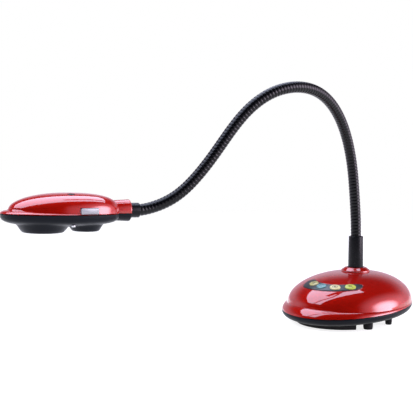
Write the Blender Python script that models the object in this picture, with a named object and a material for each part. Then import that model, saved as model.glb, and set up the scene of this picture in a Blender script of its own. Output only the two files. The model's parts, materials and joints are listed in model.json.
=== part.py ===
"""Document camera: a weighted oval base, a black gooseneck and a pebble-shaped camera head.

Metres, +Z up. The base's front, where its rim flange is widest, faces -Y. The frame's origin lies on
the table, in the middle of the footprint of the whole object as it stands with its neck bent forward.
The gooseneck is a chain of short links that pivot about ball-shaped ends, one hinge between two links.
"""
import math

import bpy
import numpy as np
from mathutils import Matrix, Vector

# Frame
BASE_AT = Vector((0.0323, 0.1559, 0.0))      # middle of the base's oval, seen from the frame's origin
GAP = 0.0003                                 # clearance between two pieces that meet
UP = Vector((0.0, 0.0, 1.0))

# Base: an oval with a flange that widens towards the front, and a parting plane that rises to the rear
BASE_HALF_LENGTH = 0.087
BASE_HALF_WIDTH = 0.0711
RIM_Z = 0.0192
RIM_SLOPE = 0.058
DOME_TOP = 0.0573
FLANGE_WIDTH = 0.0090
FLANGE_HEIGHT = 0.0078
FLANGE_FADE = 2.6
FLANGE_SLANT = 0.3                           # 0 makes its section a quarter of an oval, 1 a straight slope
REAR_FLANGE = 0.0003
REAR_RISE = 0.0014
BASE_WALL = 0.0024
DISH_DEPTH = 0.0098
DISH_CORNER = 0.5                            # share of the bowl's profile that is its rounded side
DISH_PULL = 0.187                            # how far that side draws in, as a share of the oval
DISH_POWER = 0.8                             # below 1, the side drops steeply before it rounds under
BASE_COLUMNS = 40
BALLAST_HALF_LENGTH = 0.058
BALLAST_HALF_WIDTH = 0.044
BALLAST_THICKNESS = 0.012

# Neck root
NECK_Y = 0.0155                              # the neck stands this far behind the oval's middle
NECK_HOLE_R = 0.0105
COLLAR_BOTTOM_R = 0.0170
COLLAR_TOP_R = 0.0124
COLLAR_TOP = 0.0622
BOOT_BOTTOM = 0.0585
BOOT_TOP = 0.0995
BOOT_BOTTOM_R = 0.0092
BOOT_TOP_R = 0.0087

# Keypad on the dome, along an ellipse around the oval's middle
KEY_RING = 0.653
KEY_RISE = 0.10                              # the line of the keys runs higher towards the first key
KEY_RISE_FROM = 0.20
KEY_RISE_BLEND = 0.01
KEY_ANGLES = [-9.8, 6.4, 25.6, 43.9]
KEY_NAMES = ["button_yellow", "button_blue", "button_cream", "button_green"]
KEY_FINISHES = ["key_yellow", "key_blue", "key_cream", "key_green"]
KEY_HALF_LONG = 0.0061                       # along the panel
KEY_HALF_SHORT = 0.0047                      # across it
PANEL_HALF_BAND = 0.071
PANEL_FROM = -29.0
PANEL_TO = 58.5
PANEL_RADIUS = 0.055                         # distance from the oval's middle: turns a growth into an angle
PANEL_SLOPE_LENGTH = 0.078                   # length of a column of the dome, which turns it into a reach
PANEL_END_ROUND = 0.16

# Gooseneck
NECK_R = 0.00625
NECK_BORE_R = 0.0040
LINK_SIDES = 12
BALL_R = 0.0080
SOCKET_R = 0.0084
JOINT_COUNT = 15
FIRST_JOINT = 0.046                          # along the route, from its start inside the boot
LAST_JOINT_TO_FERRULE = 0.0095
TIP_IN_FERRULE = 0.010
FERRULE_AT = Vector((-0.0713, -0.2782, 0.1415))
NECK_ROUTE = [                               # from the neck's foot: +Y rearwards, Z above the table
    (0.000, 0.000, 0.070), (0.000, 0.000, 0.105), (-0.0004, -0.0024, 0.141), (-0.0006, -0.0067, 0.175),
    (0.0008, -0.0177, 0.209), (0.0043, -0.0377, 0.2382), (0.0083, -0.0652, 0.2595), (0.0098, -0.0992, 0.2714),
    (0.0058, -0.1292, 0.2716), (-0.0052, -0.1607, 0.2594), (-0.0167, -0.1817, 0.2381),
    (-0.0277, -0.2022, 0.208), (-0.0382, -0.2222, 0.179), (-0.0499, -0.2424, 0.1574),
]

# Head: its own frame has +X towards the nose, +Y to its left side, z = 0 on the parting plane
HEAD_HEADING = 251.0                         # degrees about Z
HEAD_NOSE_UP = 1.45
FERRULE_Z = 0.0026
FERRULE_R = 0.00775
FERRULE_LENGTH = 0.0222
HEAD_MIDDLE_X = 0.0828
HEAD_HALF_LENGTH = 0.0600
HEAD_REAR_POWER = 2.5                        # of the oval's rear half, which is blunter than an ellipse
HEAD_HALF_WIDTH = 0.0340
HEAD_TOP = 0.0207
HEAD_APEX_X = 0.0780
HEAD_FLANGE_WIDTH = 0.0075
HEAD_FLANGE_HEIGHT = 0.0026
HEAD_WALL = 0.0020
HEAD_DISH_DEPTH = 0.0120
COLLAR_FROM = 0.0105
COLLAR_TO = 0.0222
COLLAR_R = 0.01135
LENS_X = 0.1005
LENS_FLAT_R = 0.0192
LENS_FLARE_R = 0.0276
LENS_FLAT_Z = -0.0189
LAMP_X = 0.0566
LAMP_FLAT_R = 0.0126
LAMP_FLARE_R = 0.0190
LAMP_FLAT_Z = -0.0182
WINDOW_R = 0.0115
LAMP_WINDOW_R = 0.0080
HEAD_COLUMNS = 40

# Ports in the dome's rear
PORT_REACH = 0.945
PORT_HALF_REACH = 0.034
PORT_HALF_TURN = 0.245
PORT_RADIUS = 0.07
PORT_SLOPE_LENGTH = 0.045
PORT_END_ROUND = 0.06

# Feet and screws of the base
FRONT_FOOT_SPREAD = 53.0
SMALL_FEET = [("side_foot_right", 0.0505, -0.0270, 0.0056), ("side_foot_left", -0.0505, -0.0270, 0.0056),
              ("mid_foot_right", 0.0515, 0.0115, 0.0040), ("mid_foot_left", -0.0515, 0.0115, 0.0040),
              ("rear_foot_right", 0.0290, 0.0560, 0.0056), ("rear_foot_left", -0.0290, 0.0560, 0.0056)]
SCREW_ANGLES = [75.0, -75.0, 180.0]
SCREW_SHARE = 0.70

# Head details
BOSSES = [(LENS_X, LENS_FLAT_R, LENS_FLARE_R, LENS_FLAT_Z), (LAMP_X, LAMP_FLAT_R, LAMP_FLARE_R, LAMP_FLAT_Z)]
SWITCH_AT = Vector((0.0613, 0.0287, 0.0038))
SWITCH_YAW = 8.5                            # the side of the head turns in towards the neck
SWITCH_LENGTH = 0.0188
SWITCH_DEPTH = 0.0060
SWITCH_HEIGHT = 0.0060
MICROPHONE_AT = Vector((0.0755, 0.0130, HEAD_TOP - 0.0009))
MICROPHONE_TILT = -9.0                       # degrees about the head's X: the shell falls away there
MICROPHONE_R = 0.0036
HEAD_SCREW_X = 0.0760
HEAD_SCREW_Y = 0.0255

COLOURS = {                                  # base colour, roughness, metallic
    "red_gloss": ((0.62, 0.018, 0.022), 0.18, 0.0),
    "grey_case": ((0.135, 0.145, 0.160), 0.42, 0.0),
    "black_rubber": ((0.022, 0.022, 0.024), 0.65, 0.0),
    "neck_black": ((0.030, 0.031, 0.035), 0.42, 0.0),
    "panel_grey": ((0.075, 0.085, 0.095), 0.38, 0.0),
    "key_yellow": ((0.80, 0.74, 0.28), 0.40, 0.0),
    "key_blue": ((0.12, 0.50, 0.60), 0.40, 0.0),
    "key_cream": ((0.86, 0.72, 0.50), 0.40, 0.0),
    "key_green": ((0.58, 0.76, 0.14), 0.40, 0.0),
    "switch_white": ((0.80, 0.84, 0.90), 0.35, 0.0),
    "steel": ((0.55, 0.55, 0.57), 0.35, 1.0),
    "board_green": ((0.03, 0.20, 0.09), 0.50, 0.0),
    "lens_glass": ((0.04, 0.05, 0.08), 0.06, 0.0),
    "lamp_white": ((0.88, 0.90, 0.92), 0.30, 0.0),
}


def clear_scene():
    for obj in list(bpy.data.objects):
        bpy.data.objects.remove(obj, do_unlink=True)


def material(name):
    found = bpy.data.materials.get(name)
    if found:
        return found
    colour, roughness, metallic = COLOURS[name]
    made = bpy.data.materials.new(name)
    made.use_nodes = True
    shader = made.node_tree.nodes["Principled BSDF"]
    shader.inputs["Base Color"].default_value = (*colour, 1.0)
    shader.inputs["Roughness"].default_value = roughness
    shader.inputs["Metallic"].default_value = metallic
    return made


def add_object(name, verts, faces, finish, sharp_degrees=35.0):
    """A closed mesh object; its faces are turned outwards by the sign of its volume."""
    mesh = bpy.data.meshes.new(name)
    mesh.from_pydata([tuple(v) for v in verts], [], faces)
    mesh.validate()
    points = np.array([tuple(v) for v in verts])
    volume = 0.0
    for face in faces:
        for k in range(1, len(face) - 1):
            volume += np.dot(points[face[0]], np.cross(points[face[k]], points[face[k + 1]]))
    if volume < 0:
        mesh.flip_normals()
    mesh.shade_smooth()
    mesh.set_sharp_from_angle(angle=math.radians(sharp_degrees))
    mesh.materials.append(material(finish))
    obj = bpy.data.objects.new(name, mesh)
    bpy.context.scene.collection.objects.link(obj)
    return obj


def ring_solid(name, rings, finish, loop=False, sharp_degrees=35.0):
    """Joins rings of equal length with quads; ends are capped unless the last ring meets the first."""
    count = len(rings[0])
    verts = [p for ring in rings for p in ring]
    faces = []
    pairs = len(rings) if loop else len(rings) - 1
    for i in range(pairs):
        low = i * count
        high = ((i + 1) % len(rings)) * count
        for j in range(count):
            k = (j + 1) % count
            faces.append((low + j, low + k, high + k, high + j))
    if not loop:
        faces.append(tuple(reversed(range(count))))
        faces.append(tuple(range((len(rings) - 1) * count, len(rings) * count)))
    return add_object(name, verts, faces, finish, sharp_degrees)


def turned(name, profile, finish, sides=24, loop=False):
    """A solid of revolution about Z from (radius, z) pairs; a loop profile makes a tube."""
    rings = []
    for radius, z in profile:
        rings.append([Vector((radius * math.cos(a), radius * math.sin(a), z)) for a in columns(sides)])
    return ring_solid(name, rings, finish, loop)


def oval_stack(name, layers, finish, sides=20):
    """Ovals stacked along Z, from (half length in X, half width in Y, z) triples."""
    rings = []
    for long, short, z in layers:
        rings.append([Vector((long * math.cos(a), short * math.sin(a), z)) for a in columns(sides)])
    return ring_solid(name, rings, finish)


def block(name, size, finish, bevel=0.0):
    """A rectangular block about its own middle, with bevelled edges."""
    half = [s / 2 for s in size]
    verts = [(x * half[0], y * half[1], z * half[2]) for z in (-1, 1) for y in (-1, 1) for x in (-1, 1)]
    faces = [(0, 2, 3, 1), (4, 5, 7, 6), (0, 1, 5, 4), (2, 6, 7, 3), (0, 4, 6, 2), (1, 3, 7, 5)]
    obj = add_object(name, verts, faces, finish)
    if bevel:
        edge = obj.modifiers.new("bevel", "BEVEL")
        edge.width = bevel
        edge.segments = 2
    return obj


def cut(target, cutter):
    """Takes the cutter's space out of the target, and hides the cutter."""
    carve = target.modifiers.new("cut_" + cutter.name, "BOOLEAN")
    carve.operation = "DIFFERENCE"
    carve.object = cutter
    cutter.hide_render = True
    cutter.display_type = "WIRE"


def place(obj, frame, offset=(0.0, 0.0, 0.0)):
    """Puts an object at an offset inside a frame matrix."""
    obj.matrix_world = frame @ Matrix.Translation(Vector(offset))
    return obj


def ellipse_point(half_width, half_length, angle):
    """A point of an oval whose front, angle 0, faces -Y."""
    return Vector((half_width * math.sin(angle), -half_length * math.cos(angle), 0.0))


def columns(count):
    return [2 * math.pi * j / count for j in range(count)]


# ---------------------------------------------------------------- base surfaces


def fade(angle, power):
    """1 at the front of an oval and 0 at its rear."""
    return ((1 + math.cos(angle)) / 2) ** power


def base_ring(inset, angle):
    return ellipse_point(BASE_HALF_WIDTH - inset, BASE_HALF_LENGTH - inset, angle)


def sloped(point, height):
    """Lifts a point to a height above the sloping parting plane."""
    return Vector((point.x, point.y, RIM_Z + RIM_SLOPE * point.y + height))


def flange_inset(angle):
    return REAR_FLANGE + FLANGE_WIDTH * fade(angle, FLANGE_FADE)


def flange_rise(angle):
    return REAR_RISE + FLANGE_HEIGHT * fade(angle, FLANGE_FADE)


def dome_point(angle, reach, inward=0.0):
    """A point of the dome: reach is 0 at the neck's hole and 1 at the crease above the flange."""
    foot = base_ring(flange_inset(angle) + inward, angle)
    foot_z = sloped(foot, flange_rise(angle)).z
    hole = ellipse_point(NECK_HOLE_R, NECK_HOLE_R, angle) + Vector((0.0, NECK_Y, 0.0))
    flat = hole.lerp(foot, reach)
    rise = math.sqrt(max(0.0, 1 - reach * reach))
    return Vector((flat.x, flat.y, foot_z + (DOME_TOP - inward - foot_z) * rise))


def dome_normal(angle, reach):
    step = 0.01
    across = dome_point(angle + step, reach) - dome_point(angle - step, reach)
    along = dome_point(angle, reach + step) - dome_point(angle, reach - step)
    normal = across.cross(along).normalized()
    return normal if normal.z > 0 else -normal


def lifted(angle, reach, lift):
    return dome_point(angle, reach) + dome_normal(angle, reach) * lift


def dome_frame(angle, reach, lift):
    """A frame on the dome with +Z along its normal and +X along the columns' turn."""
    normal = dome_normal(angle, reach)
    across = (dome_point(angle + 0.01, reach) - dome_point(angle - 0.01, reach)).normalized()
    side = normal.cross(across)
    frame = Matrix((across, side, normal)).transposed().to_4x4()
    frame.translation = lifted(angle, reach, lift)
    return frame


def key_reach(angle, share=1.0):
    """The reach at which the keys' line crosses this column of the dome, with a share of its rise."""
    before = KEY_RISE_FROM - angle
    ring = KEY_RING - share * KEY_RISE * (before + math.sqrt(before ** 2 + KEY_RISE_BLEND)) / 2
    low, high = 0.3, 0.98
    for _ in range(30):
        middle = (low + high) / 2
        p = dome_point(angle, middle)
        if math.hypot(p.x / BASE_HALF_WIDTH, p.y / BASE_HALF_LENGTH) < ring:
            low = middle
        else:
            high = middle
    return (low + high) / 2


def dome_strip(name, finish, start, stop, edges_at, lifts, end_round, steps):
    """A strip of the dome with rounded ends: lifts are its under and upper side along the normal."""
    rings = []
    for i in range(steps):
        along = -math.cos(math.pi * i / (steps - 1))
        angle = (start + stop) / 2 + along * (stop - start) / 2
        from_end = min(angle - start, stop - angle) / end_round
        inner, outer = edges_at(angle)
        width = (outer - inner) / 2 * max(0.22, math.sqrt(max(0.0, 1 - max(0.0, 1 - from_end) ** 2)))
        reaches = [(inner + outer) / 2 + a * width for a in (-1.0, -0.5, 0.0, 0.5, 1.0)]
        top = [lifted(angle, reach, lifts[1]) for reach in reaches]
        bottom = [lifted(angle, reach, lifts[0]) for reach in reversed(reaches)]
        rings.append(top + bottom)
    return ring_solid(name, rings, finish)


def keypad_strip(name, finish, lifts, grow=0.0):
    start = math.radians(PANEL_FROM) - grow / PANEL_RADIUS
    stop = math.radians(PANEL_TO) + grow / PANEL_RADIUS
    half = PANEL_HALF_BAND + grow / PANEL_SLOPE_LENGTH

    def edges_at(angle):
        return key_reach(angle) - half, key_reach(angle, 0.0) + half

    return dome_strip(name, finish, start, stop, edges_at, lifts, PANEL_END_ROUND, 15)


def port_strip(name, finish, lifts, grow=0.0):
    half_turn = PORT_HALF_TURN + grow / PORT_RADIUS
    half = PORT_HALF_REACH + grow / PORT_SLOPE_LENGTH
    start, stop = math.pi - half_turn, math.pi + half_turn
    edges = (PORT_REACH - half, PORT_REACH + half)
    return dome_strip(name, finish, start, stop, lambda angle: edges, lifts, PORT_END_ROUND, 9)


# ---------------------------------------------------------------- base pieces


def make_base_top(base):
    angles = columns(BASE_COLUMNS)
    rings = [[sloped(base_ring(0.0, a), GAP / 2) for a in angles]]
    for share in (0.0, 0.4, 0.75):
        turn = share * math.pi / 2
        lip = 0.12 + 0.88 * math.sin(turn)
        pull = FLANGE_SLANT * math.sin(turn) + (1 - FLANGE_SLANT) * (1 - math.cos(turn))
        rings.append([sloped(base_ring(flange_inset(a) * pull, a), flange_rise(a) * lip) for a in angles])
    reaches = [math.cos(math.pi / 2 * k / 8) for k in range(9)]
    rings += [[dome_point(a, r) for a in angles] for r in reaches]
    rings += [[dome_point(a, r, BASE_WALL) for a in angles] for r in reversed(reaches)]
    rings.append([sloped(base_ring(flange_inset(a) + BASE_WALL, a), GAP / 2) for a in angles])
    top = place(ring_solid("base_top_shell", rings, "red_gloss", loop=True), base)
    cut(top, place(keypad_strip("keypad_window", "panel_grey", (-0.008, 0.008), GAP), base))
    cut(top, place(port_strip("port_window", "panel_grey", (-0.008, 0.008), GAP), base))


def bowl_point(angle, share, inset, raised):
    """The lower case's bowl: share runs from the rim, 0, over its rounded side to its middle, 1."""
    if share < DISH_CORNER:
        turn = share / DISH_CORNER * math.pi / 2
        flat = 1 - DISH_PULL * (1 - math.cos(turn))
        depth = math.sin(turn) ** DISH_POWER
    else:
        flat = (1 - DISH_PULL) * (1 - share) / (1 - DISH_CORNER)
        depth = 1.0
    point = base_ring(inset, angle) * flat
    return sloped(point, -GAP / 2 - (DISH_DEPTH - raised) * depth)


def make_base_case(base):
    angles = columns(BASE_COLUMNS)
    shares = [0.0, 0.12, 0.25, 0.38, 0.5, 0.75, 0.98]
    outer = [[bowl_point(a, s, 0.0, 0.0) for a in angles] for s in reversed(shares)]
    inner = [[bowl_point(a, s, BASE_WALL, BASE_WALL) for a in angles] for s in shares]
    case = place(ring_solid("base_lower_case", outer + inner, "grey_case"), base)
    for index, (x, y) in enumerate(screw_places()):
        floor = RIM_Z + RIM_SLOPE * y - DISH_DEPTH
        hole = turned("case_screw_hole_%d" % (index + 1), [(0.0018, -0.01), (0.0018, 0.01)], "steel", 12)
        cut(case, place(hole, base, (x, y, floor)))


def screw_places():
    spots = []
    for degrees in SCREW_ANGLES:
        spot = base_ring(0.0, math.radians(degrees)) * SCREW_SHARE
        spots.append((spot.x, spot.y))
    return spots


def make_base_screws(base):
    for index, (x, y) in enumerate(screw_places()):
        floor = RIM_Z + RIM_SLOPE * y - DISH_DEPTH
        profile = [(0.0029, -0.0020), (0.0029, -0.0008), (0.0014, -0.0004), (0.0014, 0.0120)]
        place(turned("base_screw_%d" % (index + 1), profile, "steel", 12), base, (x, y, floor - 0.0002))


def make_front_foot(base):
    """The crescent pad under the front edge: its top follows the case's floor, its sole is flat."""
    spread = math.radians(FRONT_FOOT_SPREAD)
    rings = []
    for i in range(17):
        angle = -spread + 2 * spread * i / 16
        outer = base_ring(0.0, angle) * 0.795
        inner = base_ring(0.0, angle) * 0.64
        top_outer = sloped(outer, -DISH_DEPTH - GAP * 1.5)
        top_inner = sloped(inner, -DISH_DEPTH - GAP * 1.5)
        sole_outer = Vector((outer.x * 0.985, outer.y * 0.985, 0.0))
        rings.append([top_outer, sole_outer, Vector((inner.x, inner.y, 0.0)), top_inner])
    place(ring_solid("front_foot_pad", rings, "black_rubber"), base)


def make_small_feet(base):
    for name, x, y, radius in SMALL_FEET:
        top = RIM_Z + RIM_SLOPE * (y - radius) - DISH_DEPTH - GAP * 1.5
        profile = [(radius * 0.9, 0.0), (radius, 0.0008), (radius, top)]
        place(turned(name, profile, "black_rubber", 14), base, (x, y, 0.0))


def make_ballast(base):
    low = -DISH_DEPTH + BASE_WALL + GAP
    rings = []
    for share, height in ((0.05, low), (0.975, low), (1.0, low + 0.0012),
                          (1.0, low + BALLAST_THICKNESS - 0.0012), (0.975, low + BALLAST_THICKNESS),
                          (0.05, low + BALLAST_THICKNESS)):
        ring = []
        for a in columns(28):
            point = ellipse_point(BALLAST_HALF_WIDTH * share, BALLAST_HALF_LENGTH * share, a)
            ring.append(sloped(point, height))
        rings.append(ring)
    place(ring_solid("ballast_plate", rings, "steel"), base)


def make_keypad(base):
    panel = place(keypad_strip("keypad_panel", "panel_grey", (-0.0020, 0.0007)), base)
    place(keypad_strip("keypad_mat", "black_rubber", (-0.0063, -0.0052), -0.0006), base)
    for name, finish, degrees in zip(KEY_NAMES, KEY_FINISHES, KEY_ANGLES):
        angle = math.radians(degrees)
        frame = base @ dome_frame(angle, key_reach(angle), 0.0)
        long, short = KEY_HALF_LONG + GAP, KEY_HALF_SHORT + GAP
        bore = oval_stack(name + "_bore", [(long, short, -0.01), (long, short, 0.01)], "panel_grey")
        cut(panel, place(bore, frame))
        crown = [(1.0, 1.0, -0.0036), (1.0, 1.0, 0.0011), (0.9, 0.87, 0.0017), (0.55, 0.5, 0.0020)]
        layers = [(a * KEY_HALF_LONG, b * KEY_HALF_SHORT, z) for a, b, z in crown]
        place(oval_stack(name, layers, finish), frame)


def make_ports(base):
    place(port_strip("rear_port_plate", "panel_grey", (-0.0026, -0.0006)), base)
    frame = base @ dome_frame(math.pi, PORT_REACH, -0.0006 + GAP)
    ring = [(0.0040, 0.0), (0.0040, 0.0018), (0.0029, 0.0018), (0.0029, 0.0006), (0.0008, 0.0006)]
    place(turned("power_jack", ring, "neck_black", 16), frame, (0.0125, 0.0, 0.0))
    place(block("usb_socket", (0.0088, 0.0046, 0.0016), "steel", 0.0004), frame, (0.0, 0.0, 0.0008))
    place(block("video_socket", (0.0110, 0.0052, 0.0016), "steel", 0.0004), frame, (-0.0125, 0.0, 0.0008))


def make_neck_root(base):
    foot = base @ Matrix.Translation((0.0, NECK_Y, 0.0))
    low = DOME_TOP + 0.0006
    bore = BOOT_BOTTOM_R + 0.0004
    collar = [
        (COLLAR_BOTTOM_R, low), (COLLAR_BOTTOM_R + 0.0003, low + 0.0010),
        (COLLAR_BOTTOM_R - 0.0012, low + 0.0026),
        (COLLAR_TOP_R + 0.0008, COLLAR_TOP - 0.0007), (COLLAR_TOP_R - 0.0004, COLLAR_TOP),
        (bore + 0.0004, COLLAR_TOP), (bore, COLLAR_TOP - 0.0006), (bore, low),
    ]
    place(turned("neck_collar", collar, "red_gloss", 28, loop=True), foot)
    bore = NECK_R + 0.0004
    boot = [(BOOT_BOTTOM_R, BOOT_BOTTOM), (BOOT_TOP_R, BOOT_TOP - 0.0004), (BOOT_TOP_R - 0.0004, BOOT_TOP),
            (bore, BOOT_TOP), (bore, BOOT_BOTTOM)]
    place(turned("neck_boot", boot, "neck_black", 20, loop=True), foot)
    stud = [(0.0050, 0.0380), (0.0050, 0.0600), (0.0060, 0.0604), (0.0060, 0.0695)]
    place(turned("neck_stud", stud, "steel", 16), foot)
    nut = [(0.0098, 0.0475), (0.0098, 0.0530), (0.0063, 0.0530), (0.0063, 0.0475)]
    place(turned("neck_lock_nut", nut, "steel", 6, loop=True), foot)


def make_control_board(base):
    board = block("control_board", (0.060, 0.078, 0.0016), "board_green", 0.0003)
    place(board, base, (0.0, 0.006, 0.0325))


# ---------------------------------------------------------------- gooseneck


def natural_spline(points, count):
    """Evenly parametrised points of a smooth curve through the given ones."""
    pts = np.array([tuple(p) for p in points])
    knots = np.concatenate([[0.0], np.cumsum(np.linalg.norm(np.diff(pts, axis=0), axis=1))])
    n = len(pts)
    h = np.diff(knots)
    system = np.eye(n)
    right = np.zeros((n, 3))
    for i in range(1, n - 1):
        system[i, i - 1:i + 2] = (h[i - 1], 2 * (h[i - 1] + h[i]), h[i])
        right[i] = 6 * ((pts[i + 1] - pts[i]) / h[i] - (pts[i] - pts[i - 1]) / h[i - 1])
    bend = np.linalg.solve(system, right)
    curve = []
    for u in np.linspace(0.0, knots[-1], count):
        i = min(int(np.searchsorted(knots, u, side="right")) - 1, n - 2)
        a = knots[i + 1] - u
        b = u - knots[i]
        value = (bend[i] * a ** 3 + bend[i + 1] * b ** 3) / (6 * h[i])
        value += (pts[i] / h[i] - bend[i] * h[i] / 6) * a + (pts[i + 1] / h[i] - bend[i + 1] * h[i] / 6) * b
        curve.append(value)
    return np.array(curve)


def head_frame(base):
    """The head's frame, whose z = 0 is its parting plane, from the place of the ferrule's rear face."""
    turn = Matrix.Rotation(math.radians(HEAD_HEADING), 4, "Z")
    tilt = Matrix.Rotation(math.radians(-HEAD_NOSE_UP), 4, "Y")
    ferrule = Matrix.Translation(FERRULE_AT + Vector((0.0, NECK_Y, 0.0)))
    return base @ ferrule @ turn @ tilt @ Matrix.Translation((0.0, 0.0, -FERRULE_Z))


def neck_points(base):
    """Every joint's centre, with the root's start before them and the tip's end after them."""
    foot = BASE_AT + Vector((0.0, NECK_Y, 0.0))
    head = head_frame(base)
    axis = (head.to_3x3() @ Vector((1.0, 0.0, 0.0))).normalized()
    ferrule = head @ Vector((0.0, 0.0, FERRULE_Z))
    route = [foot + Vector(p) for p in NECK_ROUTE]
    route += [ferrule - axis * LAST_JOINT_TO_FERRULE, ferrule, ferrule + axis * TIP_IN_FERRULE]
    curve = natural_spline(route, 1500)
    lengths = np.concatenate([[0.0], np.cumsum(np.linalg.norm(np.diff(curve, axis=0), axis=1))])
    last = lengths[-1] - TIP_IN_FERRULE - LAST_JOINT_TO_FERRULE
    stops = np.linspace(FIRST_JOINT, last, JOINT_COUNT)
    centres = [Vector([np.interp(s, lengths, curve[:, k]) for k in range(3)]) for s in stops]
    return [route[0]] + centres + [ferrule + axis * TIP_IN_FERRULE]


def link_profile(length, has_socket, has_ball):
    """One gooseneck link about its lower joint: a socket around it and a ball around the next joint."""
    def arc(radius, centre_z, from_r, to_r):
        start, stop = math.asin(from_r / radius), math.asin(to_r / radius)
        turns = [start + (stop - start) * k / 2 for k in range(3)]
        return [(radius * math.sin(a), centre_z + radius * math.cos(a)) for a in turns]

    upper, lower = [(NECK_R, length), (NECK_BORE_R, length)], [(NECK_BORE_R, 0.0), (NECK_R, 0.0)]
    if has_ball:
        upper = arc(BALL_R, length, NECK_R, NECK_BORE_R)
    if has_socket:
        lower = arc(SOCKET_R, 0.0, NECK_BORE_R, NECK_R)
    return upper + lower


def make_gooseneck(base):
    points = neck_points(base)
    for index in range(JOINT_COUNT + 1):
        start, stop = points[index], points[index + 1]
        along = (stop - start).normalized()
        frame = along.to_track_quat("Z", "X").to_matrix().to_4x4()
        frame.translation = start
        name = "neck_link_%02d" % index
        profile = link_profile((stop - start).length, index > 0, index < JOINT_COUNT)
        place(turned(name, profile, "neck_black", LINK_SIDES, loop=True), frame)


# ---------------------------------------------------------------- head


def oval_power(forward):
    return 2.0 if forward >= 0 else HEAD_REAR_POWER


def head_ring(inset, angle):
    """A point of the head's oval, whose nose, angle 0, faces +X."""
    c, s = math.cos(angle), math.sin(angle)
    bend = 2 / oval_power(c)
    x = HEAD_MIDDLE_X + (HEAD_HALF_LENGTH - inset) * math.copysign(abs(c) ** bend, c)
    return Vector((x, (HEAD_HALF_WIDTH - inset) * math.copysign(abs(s) ** bend, s), 0.0))


def head_rho(x, y):
    """0 at the middle of the head's oval and 1 on it."""
    along = (x - HEAD_MIDDLE_X) / HEAD_HALF_LENGTH
    power = oval_power(along)
    return (abs(along) ** power + abs(y / HEAD_HALF_WIDTH) ** power) ** (1 / power)


def head_flange(angle):
    return 0.0005 + HEAD_FLANGE_WIDTH * fade(angle, 1.6), 0.0008 + HEAD_FLANGE_HEIGHT * fade(angle, 1.6)


def head_top_point(angle, reach, inward=0.0):
    inset, rise = head_flange(angle)
    foot = head_ring(inset + inward, angle)
    apex = Vector((HEAD_APEX_X, 0.0, 0.0))
    flat = apex.lerp(foot, reach)
    power = 2.45 - 0.45 * math.cos(angle)
    crown = max(0.0, 1 - reach ** power) ** (1 / power)
    return Vector((flat.x, flat.y, rise + (HEAD_TOP - inward - rise) * crown))


def smooth_step(value):
    t = min(1.0, max(0.0, value))
    return t * t * (3 - 2 * t)


def head_under_z(x, y, raised=0.0):
    """The lower shell's underside: a shallow dish with a lens boss and a lamp boss."""
    rho = min(1.0, head_rho(x, y))
    z = -HEAD_DISH_DEPTH * (1 - rho ** 3.3) ** (1 / 3.3)
    for boss_x, flat_r, flare_r, flat_z in BOSSES:
        share = (flare_r - math.hypot(x - boss_x, y)) / (flare_r - flat_r)
        z += (flat_z - z) * smooth_step(share)
    return z + raised


def make_head_top(head):
    angles = columns(HEAD_COLUMNS)
    rings = [[head_ring(head_flange(a)[0] + HEAD_WALL, a) + UP * (GAP / 2) for a in angles]]
    rings.append([head_ring(0.0, a) + UP * (GAP / 2) for a in angles])
    for share in (0.35, 0.75):
        turn = share * math.pi / 2
        ring = []
        for a in angles:
            inset, rise = head_flange(a)
            ring.append(head_ring(inset * (1 - math.cos(turn)), a) + UP * (rise * math.sin(turn)))
        rings.append(ring)
    reaches = [math.cos(math.pi / 2 * k / 7) for k in range(7)] + [0.04]
    outer = [[head_top_point(a, r) for a in angles] for r in reaches]
    inner = [[head_top_point(a, r, HEAD_WALL) for a in angles] for r in reversed(reaches)]
    return place(ring_solid("head_top_shell", inner + rings + outer, "red_gloss"), head)


def make_head_bottom(head):
    angles = columns(HEAD_COLUMNS)
    reaches = [1.0, 0.985, 0.95, 0.9, 0.82, 0.73, 0.62, 0.5, 0.38, 0.26, 0.14, 0.03]

    def layer(inset, raised):
        rings = []
        for r in reaches:
            ring = []
            for a in angles:
                centre = Vector((HEAD_MIDDLE_X, 0.0, 0.0))
                flat = centre.lerp(head_ring(inset, a), r)
                stretch = HEAD_HALF_WIDTH / (HEAD_HALF_WIDTH - inset)
                x = HEAD_MIDDLE_X + (flat.x - HEAD_MIDDLE_X) * stretch
                z = head_under_z(x, flat.y * stretch) + raised * smooth_step((1 - r) / 0.05)
                ring.append(Vector((flat.x, flat.y, min(z, -GAP / 2))))
            rings.append(ring)
        return rings

    rings = list(reversed(layer(HEAD_WALL, HEAD_WALL))) + layer(0.0, 0.0)
    return place(ring_solid("head_lower_shell", rings, "grey_case"), head)


def half_tube(name, finish, upper):
    """Half of the collar that clamps the ferrule: the part above or below the parting plane."""
    side = 1.0 if upper else -1.0
    outer_angle = math.asin(FERRULE_Z / COLLAR_R)
    inner_r = FERRULE_R + 0.0004
    inner_angle = math.asin(FERRULE_Z / inner_r)
    steps = 12
    rings = []
    for x, swell in ((COLLAR_FROM, -0.0006), (COLLAR_FROM + 0.0008, 0.0), (COLLAR_TO - 0.0006, 0.0),
                     (COLLAR_TO, -0.0005)):
        ring = []
        for radius, edge, order in ((COLLAR_R + swell, outer_angle, 1), (inner_r, inner_angle, -1)):
            start = -edge if upper else edge
            arc = [start + (math.pi - 2 * start) * k / steps for k in range(steps + 1)]
            for a in arc[::order]:
                y = radius * math.cos(a)
                z = FERRULE_Z + side * radius * math.sin(a)
                z = max(z, GAP / 2) if upper else min(z, -GAP / 2)
                ring.append(Vector((x, y, z)))
        rings.append(ring)
    return ring_solid(name, rings, finish)


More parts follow.
